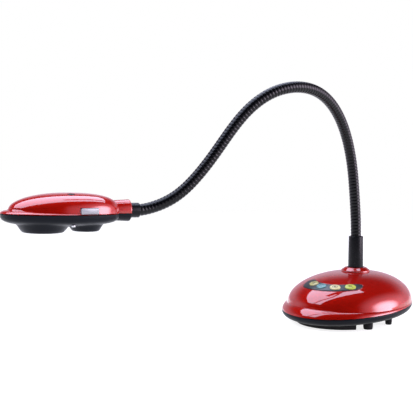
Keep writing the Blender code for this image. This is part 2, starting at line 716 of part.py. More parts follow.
def make_head_neck_clamp(head, shells):
    along_x = Matrix.Rotation(math.pi / 2, 4, "Y")
    axis = head @ Matrix.Translation((0.0, 0.0, FERRULE_Z)) @ along_x
    for shell in shells:
        hole = turned(shell.name + "_stub_hole", [(0.0050, 0.015), (0.0050, 0.0350)], "grey_case", 16)
        cut(shell, place(hole, axis))
    bore = NECK_R + 0.0004
    deep = TIP_IN_FERRULE + 0.0004
    ferrule = [(bore, 0.0), (FERRULE_R - 0.0008, 0.0), (FERRULE_R, 0.0010), (FERRULE_R, FERRULE_LENGTH),
               (0.0046, FERRULE_LENGTH + 0.0002), (0.0046, 0.0340), (0.0028, 0.0340), (0.0028, deep),
               (bore, deep)]
    place(turned("head_ferrule", ferrule, "neck_black", 20, loop=True), axis)
    nut = [(0.0076, 0.0312), (0.0076, 0.0338), (0.0058, 0.0338), (0.0058, 0.0312)]
    place(turned("head_lock_nut", nut, "steel", 6, loop=True), axis)
    place(half_tube("head_collar_upper", "red_gloss", True), head)
    place(half_tube("head_collar_lower", "grey_case", False), head)


def make_head_optics(head, lower):
    lens = head @ Matrix.Translation((LENS_X, 0.0, 0.0))
    lamp = head @ Matrix.Translation((LAMP_X, 0.0, 0.0))
    hole = turned("lens_hole", [(WINDOW_R + 0.0003, -0.03), (WINDOW_R + 0.0003, -0.005)], "grey_case", 24)
    cut(lower, place(hole, lens))
    hole = turned("lamp_hole", [(LAMP_WINDOW_R + 0.0003, -0.03), (LAMP_WINDOW_R + 0.0003, -0.005)],
                  "grey_case", 20)
    cut(lower, place(hole, lamp))
    glass = [(WINDOW_R, LENS_FLAT_Z + 0.0006), (WINDOW_R, LENS_FLAT_Z + 0.0018)]
    place(turned("lens_window", glass, "lens_glass", 24), lens)
    barrel = [(0.0098, -0.0165), (0.0105, -0.0160), (0.0105, -0.0040), (0.0070, -0.0036), (0.0070, -0.0100),
              (0.0078, -0.0165)]
    place(turned("lens_barrel", barrel, "neck_black", 20, loop=True), lens)
    element = [(0.0030, -0.0150), (0.0066, -0.0140), (0.0066, -0.0120), (0.0030, -0.0112)]
    place(turned("lens_element", element, "lens_glass", 16), lens)
    diffuser = [(LAMP_WINDOW_R, LAMP_FLAT_Z + 0.0005), (LAMP_WINDOW_R, LAMP_FLAT_Z + 0.0017)]
    place(turned("lamp_diffuser", diffuser, "lamp_white", 20), lamp)
    place(turned("lamp_board", [(0.0074, -0.0145), (0.0074, -0.0130)], "board_green", 16), lamp)
    board = block("camera_board", (0.062, 0.034, 0.0014), "board_green", 0.0003)
    place(board, head, (0.088, 0.0, -0.0022))


def make_lamp_switch(head, top):
    """A push switch in the head's left side, just above the parting line."""
    frame = head @ Matrix.Translation(SWITCH_AT) @ Matrix.Rotation(math.radians(SWITCH_YAW), 4, "Z")
    window = block("switch_window", (SWITCH_LENGTH + 2 * GAP, 0.016, SWITCH_HEIGHT + 2 * GAP), "grey_case")
    cut(top, place(window, frame))
    cap = block("lamp_switch", (SWITCH_LENGTH, SWITCH_DEPTH, SWITCH_HEIGHT), "switch_white", 0.0006)
    place(cap, frame)


def make_microphone(head, top):
    """A round grille flush with the head's top, with a lip that holds it under the shell."""
    spot = head @ Matrix.Translation(MICROPHONE_AT) @ Matrix.Rotation(math.radians(MICROPHONE_TILT), 4, "X")
    hole = turned("microphone_hole", [(MICROPHONE_R + GAP, -0.006), (MICROPHONE_R + GAP, 0.003)], "steel", 16)
    cut(top, place(hole, spot))
    lip = MICROPHONE_R + 0.0012
    profile = [(lip, -0.0042), (lip, -0.0031), (MICROPHONE_R, -0.0031), (MICROPHONE_R, -0.0003),
               (MICROPHONE_R - 0.0006, 0.0)]
    place(turned("microphone_grille", profile, "neck_black", 16), spot)


def make_head_screws(head, lower):
    for index, side in enumerate((1.0, -1.0)):
        y = side * HEAD_SCREW_Y
        z = head_under_z(HEAD_SCREW_X, y)
        hole = turned("head_screw_hole_%d" % (index + 1), [(0.0016, -0.008), (0.0016, 0.006)], "steel", 10)
        cut(lower, place(hole, head, (HEAD_SCREW_X, y, z)))
        profile = [(0.0023, -0.0022), (0.0023, -0.0010), (0.0012, -0.0006), (0.0012, 0.0075)]
        place(turned("head_screw_%d" % (index + 1), profile, "steel", 12), head, (HEAD_SCREW_X, y, z))


def build():
    clear_scene()
    base = Matrix.Translation(BASE_AT)
    make_base_top(base)
    make_base_case(base)
    make_base_screws(base)
    make_front_foot(base)
    make_small_feet(base)
    make_ballast(base)
    make_control_board(base)
    make_keypad(base)
    make_ports(base)
    make_neck_root(base)
    make_gooseneck(base)
    head = head_frame(base)
    top = make_head_top(head)
    lower = make_head_bottom(head)
    make_head_neck_clamp(head, (top, lower))
    make_head_optics(head, lower)
    make_lamp_switch(head, top)
    make_microphone(head, top)
    make_head_screws(head, lower)


build()
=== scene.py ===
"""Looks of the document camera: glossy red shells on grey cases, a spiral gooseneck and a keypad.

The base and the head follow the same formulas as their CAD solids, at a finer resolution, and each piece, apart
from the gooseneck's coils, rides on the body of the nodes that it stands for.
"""

import json
import math

import bpy
import numpy as np
from mathutils import Matrix, Vector


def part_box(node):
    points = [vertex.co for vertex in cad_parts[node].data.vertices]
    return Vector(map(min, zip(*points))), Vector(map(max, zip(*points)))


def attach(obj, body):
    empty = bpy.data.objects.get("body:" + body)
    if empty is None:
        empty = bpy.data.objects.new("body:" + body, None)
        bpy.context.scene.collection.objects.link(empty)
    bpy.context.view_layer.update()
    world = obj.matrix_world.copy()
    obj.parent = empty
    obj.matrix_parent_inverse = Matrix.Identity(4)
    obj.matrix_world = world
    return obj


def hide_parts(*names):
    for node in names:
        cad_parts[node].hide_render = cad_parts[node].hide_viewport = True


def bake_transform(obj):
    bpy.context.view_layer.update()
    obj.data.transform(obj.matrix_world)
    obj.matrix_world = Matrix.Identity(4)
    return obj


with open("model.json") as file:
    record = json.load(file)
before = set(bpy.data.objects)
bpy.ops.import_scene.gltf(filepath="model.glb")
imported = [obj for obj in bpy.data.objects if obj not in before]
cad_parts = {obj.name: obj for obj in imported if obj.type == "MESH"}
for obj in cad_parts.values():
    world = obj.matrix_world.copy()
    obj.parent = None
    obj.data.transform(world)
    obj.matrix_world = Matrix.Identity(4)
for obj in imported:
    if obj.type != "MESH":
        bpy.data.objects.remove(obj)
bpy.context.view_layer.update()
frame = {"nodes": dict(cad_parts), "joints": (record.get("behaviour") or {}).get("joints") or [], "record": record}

TAU = 2 * math.pi
GAP = 0.0003  # clearance at a parting line
AXIS_R = 0.0002  # radius at which a small flat cap closes a turned solid at its axis
SCREW_HEIGHT = 0.0018

# Base: an oval with a flange that widens towards the front, and a parting plane that rises to the rear
BASE_HALF_LENGTH = 0.087
BASE_HALF_WIDTH = 0.0711
RIM_Z = 0.0192
RIM_SLOPE = 0.058
DOME_TOP = 0.0573
FLANGE_WIDTH = 0.0090
FLANGE_HEIGHT = 0.0078
FLANGE_FADE = 2.6
FLANGE_SLANT = 0.3  # 0 makes its section a quarter of an oval, 1 a straight slope
REAR_FLANGE = 0.0003
REAR_RISE = 0.0014
BASE_WALL = 0.0024
DISH_DEPTH = 0.0098
DISH_CORNER = 0.5
DISH_PULL = 0.187
DISH_POWER = 0.8
BASE_COLUMNS = 160
PAD_HALF_TURN = 53.0
PAD_OUTER = 0.795  # the pad's edges as shares of the base's oval
PAD_INNER = 0.64

# Neck root
NECK_Y = 0.0155
NECK_HOLE_R = 0.0105
COLLAR_BOTTOM_R = 0.0170
COLLAR_TOP_R = 0.0124
COLLAR_TOP = 0.0622
BOOT_BOTTOM = 0.0585
BOOT_TOP = 0.0995
BOOT_BOTTOM_R = 0.0092
BOOT_TOP_R = 0.0087

# Keypad
KEY_RING = 0.653
KEY_RISE = 0.10  # the line of the keys runs higher towards the first key
KEY_RISE_FROM = 0.20
KEY_RISE_BLEND = 0.01
KEY_ANGLES = {"yellow": -9.8, "blue": 6.4, "cream": 25.6, "green": 43.9}
KEY_HALF_LONG = 0.0061
KEY_HALF_SHORT = 0.0047
KEY_SIDE = 0.0011  # height of a key's straight side above the dome
KEY_CROWN = 0.0009  # rise of its crown above that
MARK_HALF_WIDTH = 0.00024
MARK_PROUD = 0.00008
MARK_SUNK = 0.00015
PANEL_HALF_BAND = 0.071
PANEL_FROM = -29.0
PANEL_TO = 58.5
PANEL_TURN_PER_M = 1 / 0.055  # how far each end of the keypad turns per metre of growth
PANEL_REACH_PER_M = 1 / 0.078
PANEL_END_ROUND = 0.16

# Ports in the dome's rear
PORT_REACH = 0.945
PORT_HALF_REACH = 0.034
PORT_HALF_TURN = 0.245
PORT_TURN_PER_M = 1 / 0.07
PORT_REACH_PER_M = 1 / 0.045
PORT_END_ROUND = 0.06
PORT_PLATE_DROP = 0.0006
PORT_X = {"power": 0.0125, "usb": 0.0, "video": -0.0125}
SOCKETS = {"usb": (0.0088, 0.0046), "video": (0.0110, 0.0052)}
SOCKET_DEPTH = 0.0016
SOCKET_WALL = 0.0005
JACK_R = 0.0040

# Gooseneck
NECK_R = 0.00625
COIL_PITCH = 0.00385
GROOVE_DEPTH = 0.00042
GROOVE_POWER = 3.2
RINGS_PER_COIL = 12
NECK_SIDES = 40
NECK_START_Z = 0.070
LAST_JOINT_TO_FERRULE = 0.0095
TIP_IN_FERRULE = 0.010
MOUTH_RISE = 0.0014  # the wound neck passes this far above the last hinge

# Head: its own frame has +X towards the nose, +Y to its left side, z = 0 on the parting plane
HEAD_HEADING = 251.0
HEAD_NOSE_UP = 1.45
FERRULE_Z = 0.0026
FERRULE_R = 0.00775
FERRULE_LENGTH = 0.0222
HEAD_MIDDLE_X = 0.0828
HEAD_HALF_LENGTH = 0.0600
HEAD_REAR_POWER = 2.5
HEAD_HALF_WIDTH = 0.0340
HEAD_TOP = 0.0207
HEAD_APEX_X = 0.0780
HEAD_FLANGE_WIDTH = 0.0075
HEAD_FLANGE_HEIGHT = 0.0026
HEAD_FLANGE_FADE = 1.6
HEAD_REAR_FLANGE = 0.0005
HEAD_REAR_RISE = 0.0008
HEAD_CROWN = (2.45, 0.45)  # power of the dome's section at its sides, and how much less at the nose
HEAD_WALL = 0.0020
HEAD_DISH_DEPTH = 0.0120
HEAD_DISH_POWER = 3.3
COLLAR_FROM = 0.0105
COLLAR_TO = 0.0222
COLLAR_IN_HEAD = 0.008  # the visible collar runs on into the head, tapering
COLLAR_R = 0.01135
LENS_BOSS = (0.1005, 0.0192, 0.0276, -0.0189)  # x, radius of its flat, radius of its foot, z of its flat
LAMP_BOSS = (0.0566, 0.0126, 0.0190, -0.0182)
WINDOW_R = 0.0115
LAMP_WINDOW_R = 0.0080
HEAD_COLUMNS = 160
SWITCH_AT = (0.0613, 0.0287, 0.0038)
SWITCH_YAW = 8.5
SWITCH_SIZE = (0.0188, 0.0060, 0.0060)
SWITCH_CORNER = 0.0024
MICROPHONE_AT = (0.0755, 0.0130, HEAD_TOP - 0.0009)
MICROPHONE_TILT = -9.0  # degrees about the head's X: the shell falls away there
MICROPHONE_R = 0.0036
GRILLE_HOLE_R = 0.00028

# View and light
CAMERA_TURN = 47.0
CAMERA_BACK = 1.0017
CAMERA_LEFT = 0.1697
CAMERA_UP = 0.208
CAMERA_DOWN = 4.1
CAMERA_LENS = 73.2
BOX_AT = (-0.66, -0.03, 0.94)  # right, forward and up from the base's middle
BOX_TURN = 35.0
BOX_SIZE = (1.9, 0.90)
BOX_SEAM = 0.050
BOX_SEAM_SHARE = 0.27  # the near pane's share of the box's width
BOX_SEAM_LENGTH = 0.60  # the seam is closed over the rest of the box, at its left
BOX_RADIANCE = 6.2
BOX_TINT = (0.72, 0.77, 1.0)
FILLS = [(-1.0, -0.05, 0.45), (1.0, 0.0, 0.45)]  # right, forward and up from the base's middle
FILL_SIZE = 0.8
FILL_RADIANCE = 4.5
FLOOR_SOLID_R = 0.9
FLOOR_R = 1.7
FLOOR_GLOW = 0.80  # a lit table top: the shadow under the base stays faint
SWEEP_FADE = (13.0, 39.0)  # elevations between which the bright sweep behind the object fades
SWEEP_BEHIND = 0.8
SWEEP_UNDER = 1.0
STUDIO_DARK = 0.02
STUDIO_TINT = (0.94, 0.82, 1.0)
GLOWS = [  # azimuth, elevation, outer and inner angle, strength
    (106.0, 9.0, 28.0, 2.0, 10.0),
    (105.0, 9.0, 52.0, 5.0, 1.6),
    (-80.0, -2.0, 30.0, 5.0, 0.6),
]


# ---- materials


def node_adder(tree):
    """A function that adds a node to the tree, with its settings, values and links."""

    def add(kind, values=(), links=(), **settings):
        node = tree.nodes.new(kind)
        for key, value in settings.items():
            setattr(node, key, value)
        for socket, value in dict(values).items():
            node.inputs[socket].default_value = value
        for socket, source in dict(links).items():
            tree.links.new(source, node.inputs[socket])
        return node

    return add


def shader_graph(name, **values):
    """A new material, functions that add a node and join one to its shader, and object coordinates."""
    made = bpy.data.materials.new(name)
    made.use_nodes = True
    tree = made.node_tree
    shader = tree.nodes["Principled BSDF"]
    for socket, value in values.items():
        shader.inputs[socket.replace("_", " ")].default_value = value

    def join(source, socket):
        tree.links.new(source, shader.inputs[socket])

    add = node_adder(tree)
    return made, add, join, add("ShaderNodeTexCoord").outputs["Object"]


def noise(add, coords, scale, detail=3.0, roughness=0.55):
    return add("ShaderNodeTexNoise", {"Scale": scale, "Detail": detail, "Roughness": roughness},
               {"Vector": coords}).outputs["Fac"]


def spread(add, fac, low, high, from_low=0.3, from_high=0.7):
    """A value between low and high that follows a noise."""
    values = {"From Min": from_low, "From Max": from_high, "To Min": low, "To Max": high}
    return add("ShaderNodeMapRange", values, {"Value": fac}).outputs["Result"]


def tinted(add, fac, first, second):
    """A colour between two, by a factor; the first may come from another node."""
    mix = add("ShaderNodeMix", data_type="RGBA")
    if isinstance(first, tuple):
        mix.inputs["A"].default_value = (*first, 1.0)
    else:
        mix.id_data.links.new(first, mix.inputs["A"])
    mix.inputs["B"].default_value = (*second, 1.0)
    mix.id_data.links.new(fac, mix.inputs["Factor"])
    return mix.outputs["Result"]


def grained(add, height, strength, depth):
    """A normal that follows a pattern's height."""
    bump = add("ShaderNodeBump", {"Strength": strength, "Distance": depth}, {"Height": height})
    return bump.outputs["Normal"]


def shade(colour, share):
    return tuple(c * share for c in colour)


def moulded(name, colour, roughness, grain_scale, grain_depth, drift=0.12, coat=0.0, coat_roughness=0.05,
            ridge_highlight=None, specular=0.5, coat_ior=1.5, metallic=0.0):
    """Moulded plastic, rubber or paint: colour drift, uneven sheen, surface grain, and ridges made paler by a
    painted highlight.
    """
    made, add, join, coords = shader_graph(name, Metallic=metallic, Specular_IOR_Level=specular,
                                           Coat_Weight=coat, Coat_Roughness=coat_roughness,
                                           Coat_IOR=coat_ior)
    broad = noise(add, coords, 38.0)
    fine = noise(add, coords, grain_scale, 2.0)
    smudge = noise(add, coords, 160.0, 4.0, 0.6)
    hue = tinted(add, spread(add, broad, 0.0, 1.0), shade(colour, 1 - drift), shade(colour, 1 + drift))
    # Painted highlight: convex ridges, found from the mesh's pointiness, are mixed towards a paler colour.
    if ridge_highlight:
        ridge = add("ShaderNodeNewGeometry").outputs["Pointiness"]
        hue = tinted(add, spread(add, ridge, 0.0, 0.55, 0.52, 0.60), hue, ridge_highlight)
    join(hue, "Base Color")
    join(spread(add, smudge, roughness * 0.85, roughness * 1.2), "Roughness")
    join(grained(add, fine, 1.0, grain_depth), "Normal")
    return made


def brushed(name, colour, roughness):
    """Plated steel with fine brush marks along X."""
    made, add, join, coords = shader_graph(name, Metallic=1.0)
    stretched = add("ShaderNodeMapping", {"Scale": (120.0, 2600.0, 2600.0)}, {"Vector": coords})
    marks = noise(add, stretched.outputs["Vector"], 1.0, 2.0)
    join(tinted(add, marks, shade(colour, 0.82), colour), "Base Color")
    join(spread(add, marks, roughness * 0.8, roughness * 1.3), "Roughness")
    join(grained(add, marks, 0.4, 0.00002), "Normal")
    return made


def coated_glass(name):
    """Dark optical glass: a clear surface whose colour turns violet towards grazing angles, a painted reflection
    of its coating, and a trace of dust.
    """
    made, add, join, coords = shader_graph(name, Transmission_Weight=0.35, IOR=1.5, Coat_Weight=1.0)
    dust = noise(add, coords, 900.0, 3.0)
    # Painted reflection: the colour grows paler and more violet where the surface is seen at a grazing angle.
    edge = add("ShaderNodeLayerWeight", {"Blend": 0.35}).outputs["Facing"]
    join(tinted(add, edge, (0.012, 0.014, 0.03), (0.10, 0.05, 0.16)), "Base Color")
    join(spread(add, dust, 0.02, 0.07), "Roughness")
    return made


def circuit_board(name):
    """Green solder mask over a faint pattern of copper tracks."""
    made, add, join, coords = shader_graph(name, Roughness=0.4)
    brick = add("ShaderNodeTexBrick", {"Scale": 260.0, "Mortar Size": 0.02}, {"Vector": coords})
    tracks = brick.outputs["Fac"]
    join(tinted(add, tracks, (0.02, 0.16, 0.07), (0.05, 0.26, 0.11)), "Base Color")
    join(grained(add, tracks, 0.5, 0.00004), "Normal")
    return made


def key_finish(name, colour):
    """A silicone key: softly lit from within, with a matt skin."""
    made = moulded(name, colour, 0.38, 5200.0, 0.000010, 0.05, 0.15, 0.25)
    shader = made.node_tree.nodes["Principled BSDF"]
    shader.inputs["Subsurface Weight"].default_value = 0.15
    shader.inputs["Subsurface Radius"].default_value = (0.001, 0.001, 0.001)
    return made


FINISHES = {
    "red_gloss": moulded("red_gloss", (0.275, 0.0036, 0.0010), 0.50, 900.0, 0.0000008, 0.03, coat=1.0,
                         coat_roughness=0.02, specular=0.0, coat_ior=1.66, metallic=0.48),
    # Its paler ridge colour is a painted highlight along the case's edges.
    "grey_case": moulded("grey_case", (0.0026, 0.0036, 0.0058), 0.40, 4200.0, 0.000012, 0.06,
                         ridge_highlight=(0.007, 0.0095, 0.0135), specular=0.10),
    "foot_rubber": moulded("foot_rubber", (0.005, 0.005, 0.006), 0.72, 2600.0, 0.000040, 0.15,
                           specular=0.2),
    # Its paler ridge colour is a painted highlight along the coil's ridges.
    "gooseneck_black": moulded("gooseneck_black", (0.0006, 0.0007, 0.0013), 0.24, 3000.0, 0.000012, 0.15,
                               ridge_highlight=(0.002, 0.0022, 0.0034), specular=0.20),
    "black_plastic": moulded("black_plastic", (0.0012, 0.0014, 0.0024), 0.28, 3800.0, 0.000016, 0.10,
                             specular=0.16),
    "panel_grey": moulded("panel_grey", (0.014, 0.017, 0.018), 0.34, 3600.0, 0.000014, 0.06, specular=0.35),
    "key_yellow": key_finish("key_yellow", (0.29, 0.26, 0.085)),
    "key_blue": key_finish("key_blue", (0.066, 0.182, 0.19)),
    "key_cream": key_finish("key_cream", (0.45, 0.39, 0.18)),
    "key_green": key_finish("key_green", (0.33, 0.375, 0.045)),
    "switch_white": moulded("switch_white", (0.235, 0.245, 0.265), 0.32, 3200.0, 0.000010, 0.03, 0.3, 0.15),
    "steel": brushed("steel", (0.60, 0.60, 0.62), 0.30),
    "board_green": circuit_board("board_green"),
    "lens_glass": coated_glass("lens_glass"),
    "lamp_white": moulded("lamp_white", (0.84, 0.86, 0.88), 0.28, 1800.0, 0.000010, 0.02, 0.4, 0.1),
}


# ---- mesh helpers


def shown(name, data):
    """A new object in the scene."""
    obj = bpy.data.objects.new(name, data)
    bpy.context.scene.collection.objects.link(obj)
    return obj


def meshed(name, verts, faces, finish):
    """A mesh object in the row frame with one finish."""
    mesh = bpy.data.meshes.new(name)
    mesh.from_pydata([tuple(v) for v in verts], [], faces)
    mesh.validate()
    mesh.materials.append(finish)
    return shown(name, mesh)


def piece(name, verts, faces, slot, sharp=38.0):
    """A visible piece of the object with the finish of its slot."""
    obj = meshed(name, verts, faces, FINISHES[slot])
    smooth(obj, sharp)
    return obj


def smooth(obj, sharp=38.0):
    obj.data.shade_smooth()
    obj.data.set_sharp_from_angle(angle=math.radians(sharp))


def rings_to_mesh(rings, loop=False, capped=True):
    """Quads between rings of equal length; the ends are capped unless the last ring meets the first."""
    rings = np.asarray(rings, float)
    count, size = rings.shape[:2]
    faces = []
    for i in range(count if loop else count - 1):
        low, high = i * size, ((i + 1) % count) * size
        for j in range(size):
            k = (j + 1) % size
            faces.append((low + j, low + k, high + k, high + j))
    if capped and not loop:
        faces.append(tuple(reversed(range(size))))
        faces.append(tuple(range((count - 1) * size, count * size)))
    verts = rings.reshape(-1, 3)
    return verts, outward(verts, faces)


def outward(verts, faces):
    """The same faces, reversed if the mesh's volume comes out negative."""
    volume = 0.0
    for face in faces:
        a = verts[face[0]]
        for k in range(1, len(face) - 1):
            volume += np.dot(a, np.cross(verts[face[k]], verts[face[k + 1]]))
    return [tuple(reversed(f)) for f in faces] if volume < 0 else faces


def moved(points, matrix):
    """Points taken from a frame into the row frame."""
    matrix = np.array(matrix)
    return np.asarray(points) @ matrix[:3, :3].T + matrix[:3, 3]


def turned(degrees, axis):
    return Matrix.Rotation(math.radians(degrees), 4, axis)


def columns(count):
    return np.arange(count) * TAU / count


def rounded(profile, radius, steps=4):
    """A polyline with its inner corners turned into arcs."""
    points = [np.array(p, float) for p in profile]
    made = [points[0]]
    for before, corner, after in zip(points, points[1:], points[2:]):
        into, out = corner - before, after - corner
        reach = min(radius, np.linalg.norm(into) * 0.48, np.linalg.norm(out) * 0.48)
        start = corner - into / np.linalg.norm(into) * reach
        stop = corner + out / np.linalg.norm(out) * reach
        for t in np.linspace(0.0, 1.0, steps + 1):
            made.append((1 - t) ** 2 * start + 2 * t * (1 - t) * corner + t * t * stop)
    return made + [points[-1]]


def ring_piece(name, rings, slot, matrix, loop=False, sharp=38.0):
    """A solid skinned over rings that are given in a frame."""
    verts, faces = rings_to_mesh(rings, loop)
    return piece(name, moved(verts, matrix), faces, slot, sharp)


def ovals(name, layers, slot, matrix, sides=48):
    """Ovals stacked along the frame's Z, from (half length, half width, z) triples."""
    turn = columns(sides)
    rings = [np.stack([a * np.cos(turn), b * np.sin(turn), np.full(sides, z)], 1) for a, b, z in layers]
    return ring_piece(name, rings, slot, matrix)


def lathe(name, profile, slot, matrix, sides=64):
    """A solid of revolution about the frame's Z from (radius, z) pairs."""
    return ovals(name, [(r, r, z) for r, z in profile], slot, matrix, sides)


def rounded_box(name, size, corner, slot, matrix, edge=0.0004):
    """A box whose four upright corners have their own radii, with softened upper and lower edges."""
    corners = corner if isinstance(corner, tuple) else (corner,) * 4
    half_x, half_y, half_z = (s / 2 for s in size)
    outline = []
    for quarter, radius in enumerate(corners):
        sx, sy = ((1, 1), (-1, 1), (-1, -1), (1, -1))[quarter]
        for t in np.linspace(0, math.pi / 2, 7):
            a = t + quarter * math.pi / 2
            outline.append((sx * (half_x - radius) + radius * math.cos(a),
                            sy * (half_y - radius) + radius * math.sin(a)))
    outline = np.array(outline)
    rings = []
    for inset, z in ((edge, -half_z), (0.3 * edge, -half_z + 0.3 * edge), (0.0, -half_z + edge),
                     (0.0, half_z - edge), (0.3 * edge, half_z - 0.3 * edge), (edge, half_z)):
        share = 1 - inset / np.array([half_x, half_y])
        rings.append(np.column_stack([outline * share, np.full(len(outline), z)]))
    return ring_piece(name, rings, slot, matrix)


def tube(name, path, radius, slot, closed=False, sides=10):
    """A round tube along a path of points."""
    path = np.asarray(path, float)
    if closed:
        ahead, behind = np.roll(path, -1, 0), np.roll(path, 1, 0)
    else:
        ahead, behind = np.vstack([path[1:], path[-1:]]), np.vstack([path[:1], path[:-1]])
    along = ahead - behind
    along /= np.linalg.norm(along, axis=1)[:, None]
    side = np.cross(along, (0.0, 0.0, 1.0))
    side /= np.linalg.norm(side, axis=1)[:, None]
    lift = np.cross(side, along)
    turn = columns(sides)
    rings = path[:, None] + radius * (side[:, None] * np.cos(turn)[:, None]
                                      + lift[:, None] * np.sin(turn)[:, None])
    verts, faces = rings_to_mesh(rings, loop=closed)
    return piece(name, verts, faces, slot)


def carve(obj, *cutters):
    """Takes the cutters' space out of the object, and removes them."""
    for cutter in cutters:
        change = obj.modifiers.new("carve", "BOOLEAN")
        change.operation = "DIFFERENCE"
        change.object = cutter
    bpy.context.view_layer.update()
    cut = obj.evaluated_get(bpy.context.evaluated_depsgraph_get())
    carved = bpy.data.meshes.new_from_object(cut)
    obj.modifiers.clear()
    carved.name = obj.data.name
    obj.data = carved
    smooth(obj)
    for cutter in cutters:
        bpy.data.objects.remove(cutter)
    return obj


def settle(obj, body, *nodes):
    """The piece rides on its body and stands for its nodes."""
    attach(obj, body)
    if nodes:
        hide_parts(*nodes)
    return obj


def at(matrix, x=0.0, y=0.0, z=0.0):
    return matrix @ Matrix.Translation((x, y, z))


# ---- base surfaces


def middle_of(node):
    low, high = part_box(node)
    return (low + high) / 2


BASE = Matrix.Translation((*middle_of("base_lower_case").xy, 0.0))


def oval(half_width, half_length, angle):
    """Points of an oval whose front, angle 0, faces -Y."""
    angle = np.asarray(angle, float)
    return np.stack([half_width * np.sin(angle), -half_length * np.cos(angle), np.zeros_like(angle)], -1)


def fade(angle, power):
    """1 at the front of an oval and 0 at its rear."""
    return ((1 + np.cos(angle)) / 2) ** power


def base_ring(inset, angle):
    inset = np.asarray(inset, float)
    return oval(BASE_HALF_WIDTH - inset, BASE_HALF_LENGTH - inset, angle)


def sloped(points, height):
    """Points lifted to a height above the sloping parting plane."""
    points = np.array(points, float)
    points[..., 2] = RIM_Z + RIM_SLOPE * points[..., 1] + height
    return points


def flange_inset(angle):
    return REAR_FLANGE + FLANGE_WIDTH * fade(angle, FLANGE_FADE)


def flange_rise(angle):
    return REAR_RISE + FLANGE_HEIGHT * fade(angle, FLANGE_FADE)


def dome_point(angle, reach, inward=0.0):
    """Points of the dome: reach is 0 at the neck's hole and 1 at the crease above the flange."""
    angle = np.asarray(angle, float)
    reach = np.asarray(reach, float)[..., None]
    foot = sloped(base_ring(flange_inset(angle) + inward, angle), flange_rise(angle))
    hole = oval(NECK_HOLE_R, NECK_HOLE_R, angle) + (0.0, NECK_Y, 0.0)
    flat = hole + (foot - hole) * reach
    crown = np.sqrt(np.clip(1 - reach ** 2, 0, None))[..., 0]
    flat[..., 2] = foot[..., 2] + (DOME_TOP - inward - foot[..., 2]) * crown
    return flat


def dome_normal(angle, reach):
    step = 0.01
    across = dome_point(angle + step, reach) - dome_point(angle - step, reach)
    along = dome_point(angle, reach + step) - dome_point(angle, reach - step)
    normal = np.cross(across, along)
    normal /= np.linalg.norm(normal, axis=-1)[..., None]
    return normal * np.sign(normal[..., 2:3])


def lifted(angle, reach, lift):
    return dome_point(angle, reach) + dome_normal(angle, reach) * np.asarray(lift, float)[..., None]


def dome_frame(angle, reach, lift=0.0):
    """A frame on the dome with +Z along its normal and +X along the columns' turn."""
    normal = Vector(dome_normal(angle, reach))
    across = Vector(dome_point(angle + 0.01, reach) - dome_point(angle - 0.01, reach)).normalized()
    made = Matrix((across, normal.cross(across), normal)).transposed().to_4x4()
    made.translation = Vector(lifted(angle, reach, lift))
    return BASE @ made


def key_reach(angle, share=1.0):
    """The reach at which the keys' line crosses these columns of the dome, with a share of its rise."""
    before = KEY_RISE_FROM - angle
    ring = KEY_RING - share * KEY_RISE * (before + np.sqrt(before ** 2 + KEY_RISE_BLEND)) / 2
    low, high = np.full_like(angle, 0.3), np.full_like(angle, 0.98)
    for _ in range(30):
        middle = (low + high) / 2
        p = dome_point(angle, middle)
        inside = np.hypot(p[..., 0] / BASE_HALF_WIDTH, p[..., 1] / BASE_HALF_LENGTH) < ring
        low, high = np.where(inside, middle, low), np.where(inside, high, middle)
    return (low + high) / 2


def keypad_band(grow=0.0, count=61):
    """Angles along the keypad with the reach of its middle line and its half width there."""
    start = math.radians(PANEL_FROM) - grow * PANEL_TURN_PER_M
    stop = math.radians(PANEL_TO) + grow * PANEL_TURN_PER_M
    half = PANEL_HALF_BAND + grow * PANEL_REACH_PER_M
    angles = (start + stop) / 2 - np.cos(np.linspace(0, math.pi, count)) * (stop - start) / 2
    inner, outer = key_reach(angles) - half, key_reach(angles, 0.0) + half
    taper = end_taper(angles, start, stop, PANEL_END_ROUND)
    return angles, (inner + outer) / 2, (outer - inner) / 2 * taper


def port_band(grow=0.0, count=41):
    half_turn = PORT_HALF_TURN + grow * PORT_TURN_PER_M
    half = PORT_HALF_REACH + grow * PORT_REACH_PER_M
    start, stop = math.pi - half_turn, math.pi + half_turn
    angles = math.pi - np.cos(np.linspace(0, math.pi, count)) * half_turn
    return angles, np.full(count, PORT_REACH), half * end_taper(angles, start, stop, PORT_END_ROUND)


def end_taper(angles, start, stop, end_round):
    """Rounds off a band's two ends."""
    from_end = np.minimum(angles - start, stop - angles) / end_round
    return np.maximum(0.22, np.sqrt(np.clip(1 - np.clip(1 - from_end, 0, None) ** 2, 0, None)))


def band_strip(name, band, slot, under, upper, edge=0.0, across_count=15):
    """A strip that lies on the dome, between two heights along its normal, with rounded upper edges."""
    angles, reach, half = band
    across = np.sin(np.linspace(-math.pi / 2, math.pi / 2, across_count))
    drop = edge * np.clip((np.abs(across) - 0.90) / 0.10, 0, 1) ** 2
    rings = []
    for a, r, h in zip(angles, reach, half):
        turn = np.full(across_count, a)
        top = lifted(turn, r + across * h, upper - drop)
        bottom = lifted(turn[::-1], r + across[::-1] * h, np.full(across_count, under))
        rings.append(np.vstack([top, bottom]))
    return ring_piece(name, rings, slot, BASE, sharp=50.0)


def band_outline(band, lift):
    """The closed line around a band on the dome."""
    angles, reach, half = band
    near = lifted(angles, reach + half, np.full(len(angles), lift))
    far = lifted(angles[::-1], (reach - half)[::-1], np.full(len(angles), lift))
    return moved(np.vstack([near, far]), BASE)


def lengths_along(path):
    """The length along a path at each of its points."""
    return np.concatenate([[0.0], np.cumsum(np.linalg.norm(np.diff(path, axis=0), axis=1))])


def resampled(path, stops):
    """The path's points at these lengths along it."""
    lengths = lengths_along(path)
    return np.stack([np.interp(stops, lengths, path[:, k]) for k in range(3)], 1)


def evenly(path, count):
    """A closed path resampled at even steps."""
    path = np.vstack([path, path[:1]])
    return resampled(path, np.linspace(0.0, lengths_along(path)[-1], count, endpoint=False))


# ---- base pieces


